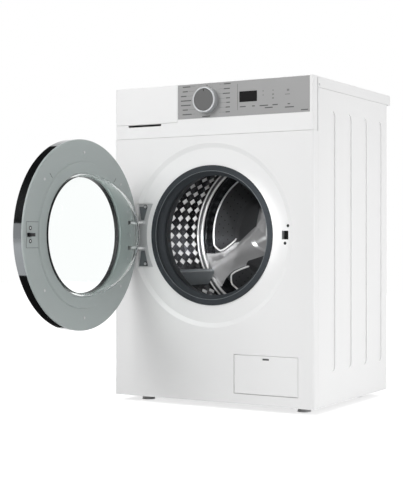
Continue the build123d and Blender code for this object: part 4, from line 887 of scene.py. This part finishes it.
class WASHER_OT_stage(bpy.types.Operator):
    """Set up the pale floor, the cards, the studio light and the camera"""
    bl_idname = "washer.stage"
    bl_label = "Stage"

    def execute(self, context):
        settings = context.scene.washer_stage
        scene = context.scene
        scene.view_settings.view_transform = "Standard"
        floor = bpy.data.objects.new("floor", mesh("floor", [bar(*FLOOR)]))
        scene.collection.objects.link(floor)
        floor.data.materials.append(floor_paint())
        flag = bpy.data.objects.new("flag", mesh("flag", [bar(*sides) for sides in FLAGS]))
        scene.collection.objects.link(flag)
        flag.data.materials.append(shader("flag_black", "#0a0a0a", 0.9))
        for ray in ("camera", "diffuse", "transmission", "shadow"):
            setattr(flag, "visible_" + ray, False)
        world_light()
        area("key", settings.key_power, *KEY_LIGHT)
        spot("fill", settings.fill_power, *FILL_SPOT)
        spot("drum", settings.drum_power, *DRUM_SPOT)
        area("side", settings.side_power, *SIDE_LIGHT)
        lens = bpy.data.cameras.new("camera")
        lens.lens = settings.lens
        lens.sensor_width = SENSOR_WIDTH
        lens.shift_y = CAMERA_SHIFT
        camera = bpy.data.objects.new("camera", lens)
        camera.location = CAMERA_PLACE
        camera.rotation_euler = (math.radians(90), 0, math.radians(CAMERA_TURN))
        scene.collection.objects.link(camera)
        scene.camera = camera
        return {"FINISHED"}


class WASHER_PT_panel(bpy.types.Panel):
    """Sidebar panel with the settings and the steps"""
    bl_label = "Washing machine"
    bl_idname = "WASHER_PT_panel"
    bl_space_type = "VIEW_3D"
    bl_region_type = "UI"
    bl_category = "Washer"

    def draw(self, context):
        for settings in (context.scene.washer, context.scene.washer_stage):
            for key in settings.__annotations__:
                self.layout.prop(settings, key)
        for operator in OPERATORS:
            self.layout.operator(operator.bl_idname)


OPERATORS = (WASHER_OT_finishes, WASHER_OT_flexible, WASHER_OT_markings, WASHER_OT_drum, WASHER_OT_details,
             WASHER_OT_stage)
CLASSES = (WasherSettings, StageSettings, *OPERATORS, WASHER_PT_panel)


def register():
    for item in CLASSES:
        bpy.utils.register_class(item)
    bpy.types.Scene.washer = bpy.props.PointerProperty(type=WasherSettings)
    bpy.types.Scene.washer_stage = bpy.props.PointerProperty(type=StageSettings)


def unregister():
    del bpy.types.Scene.washer_stage
    del bpy.types.Scene.washer
    for item in reversed(CLASSES):
        bpy.utils.unregister_class(item)


def main():
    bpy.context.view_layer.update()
    register()
    bpy.ops.washer.finishes()
    bpy.ops.washer.flexible()
    bpy.ops.washer.markings()
    bpy.ops.washer.drum()
    bpy.ops.washer.details()
    bpy.ops.washer.stage()


if __name__ == "__main__":
    main()
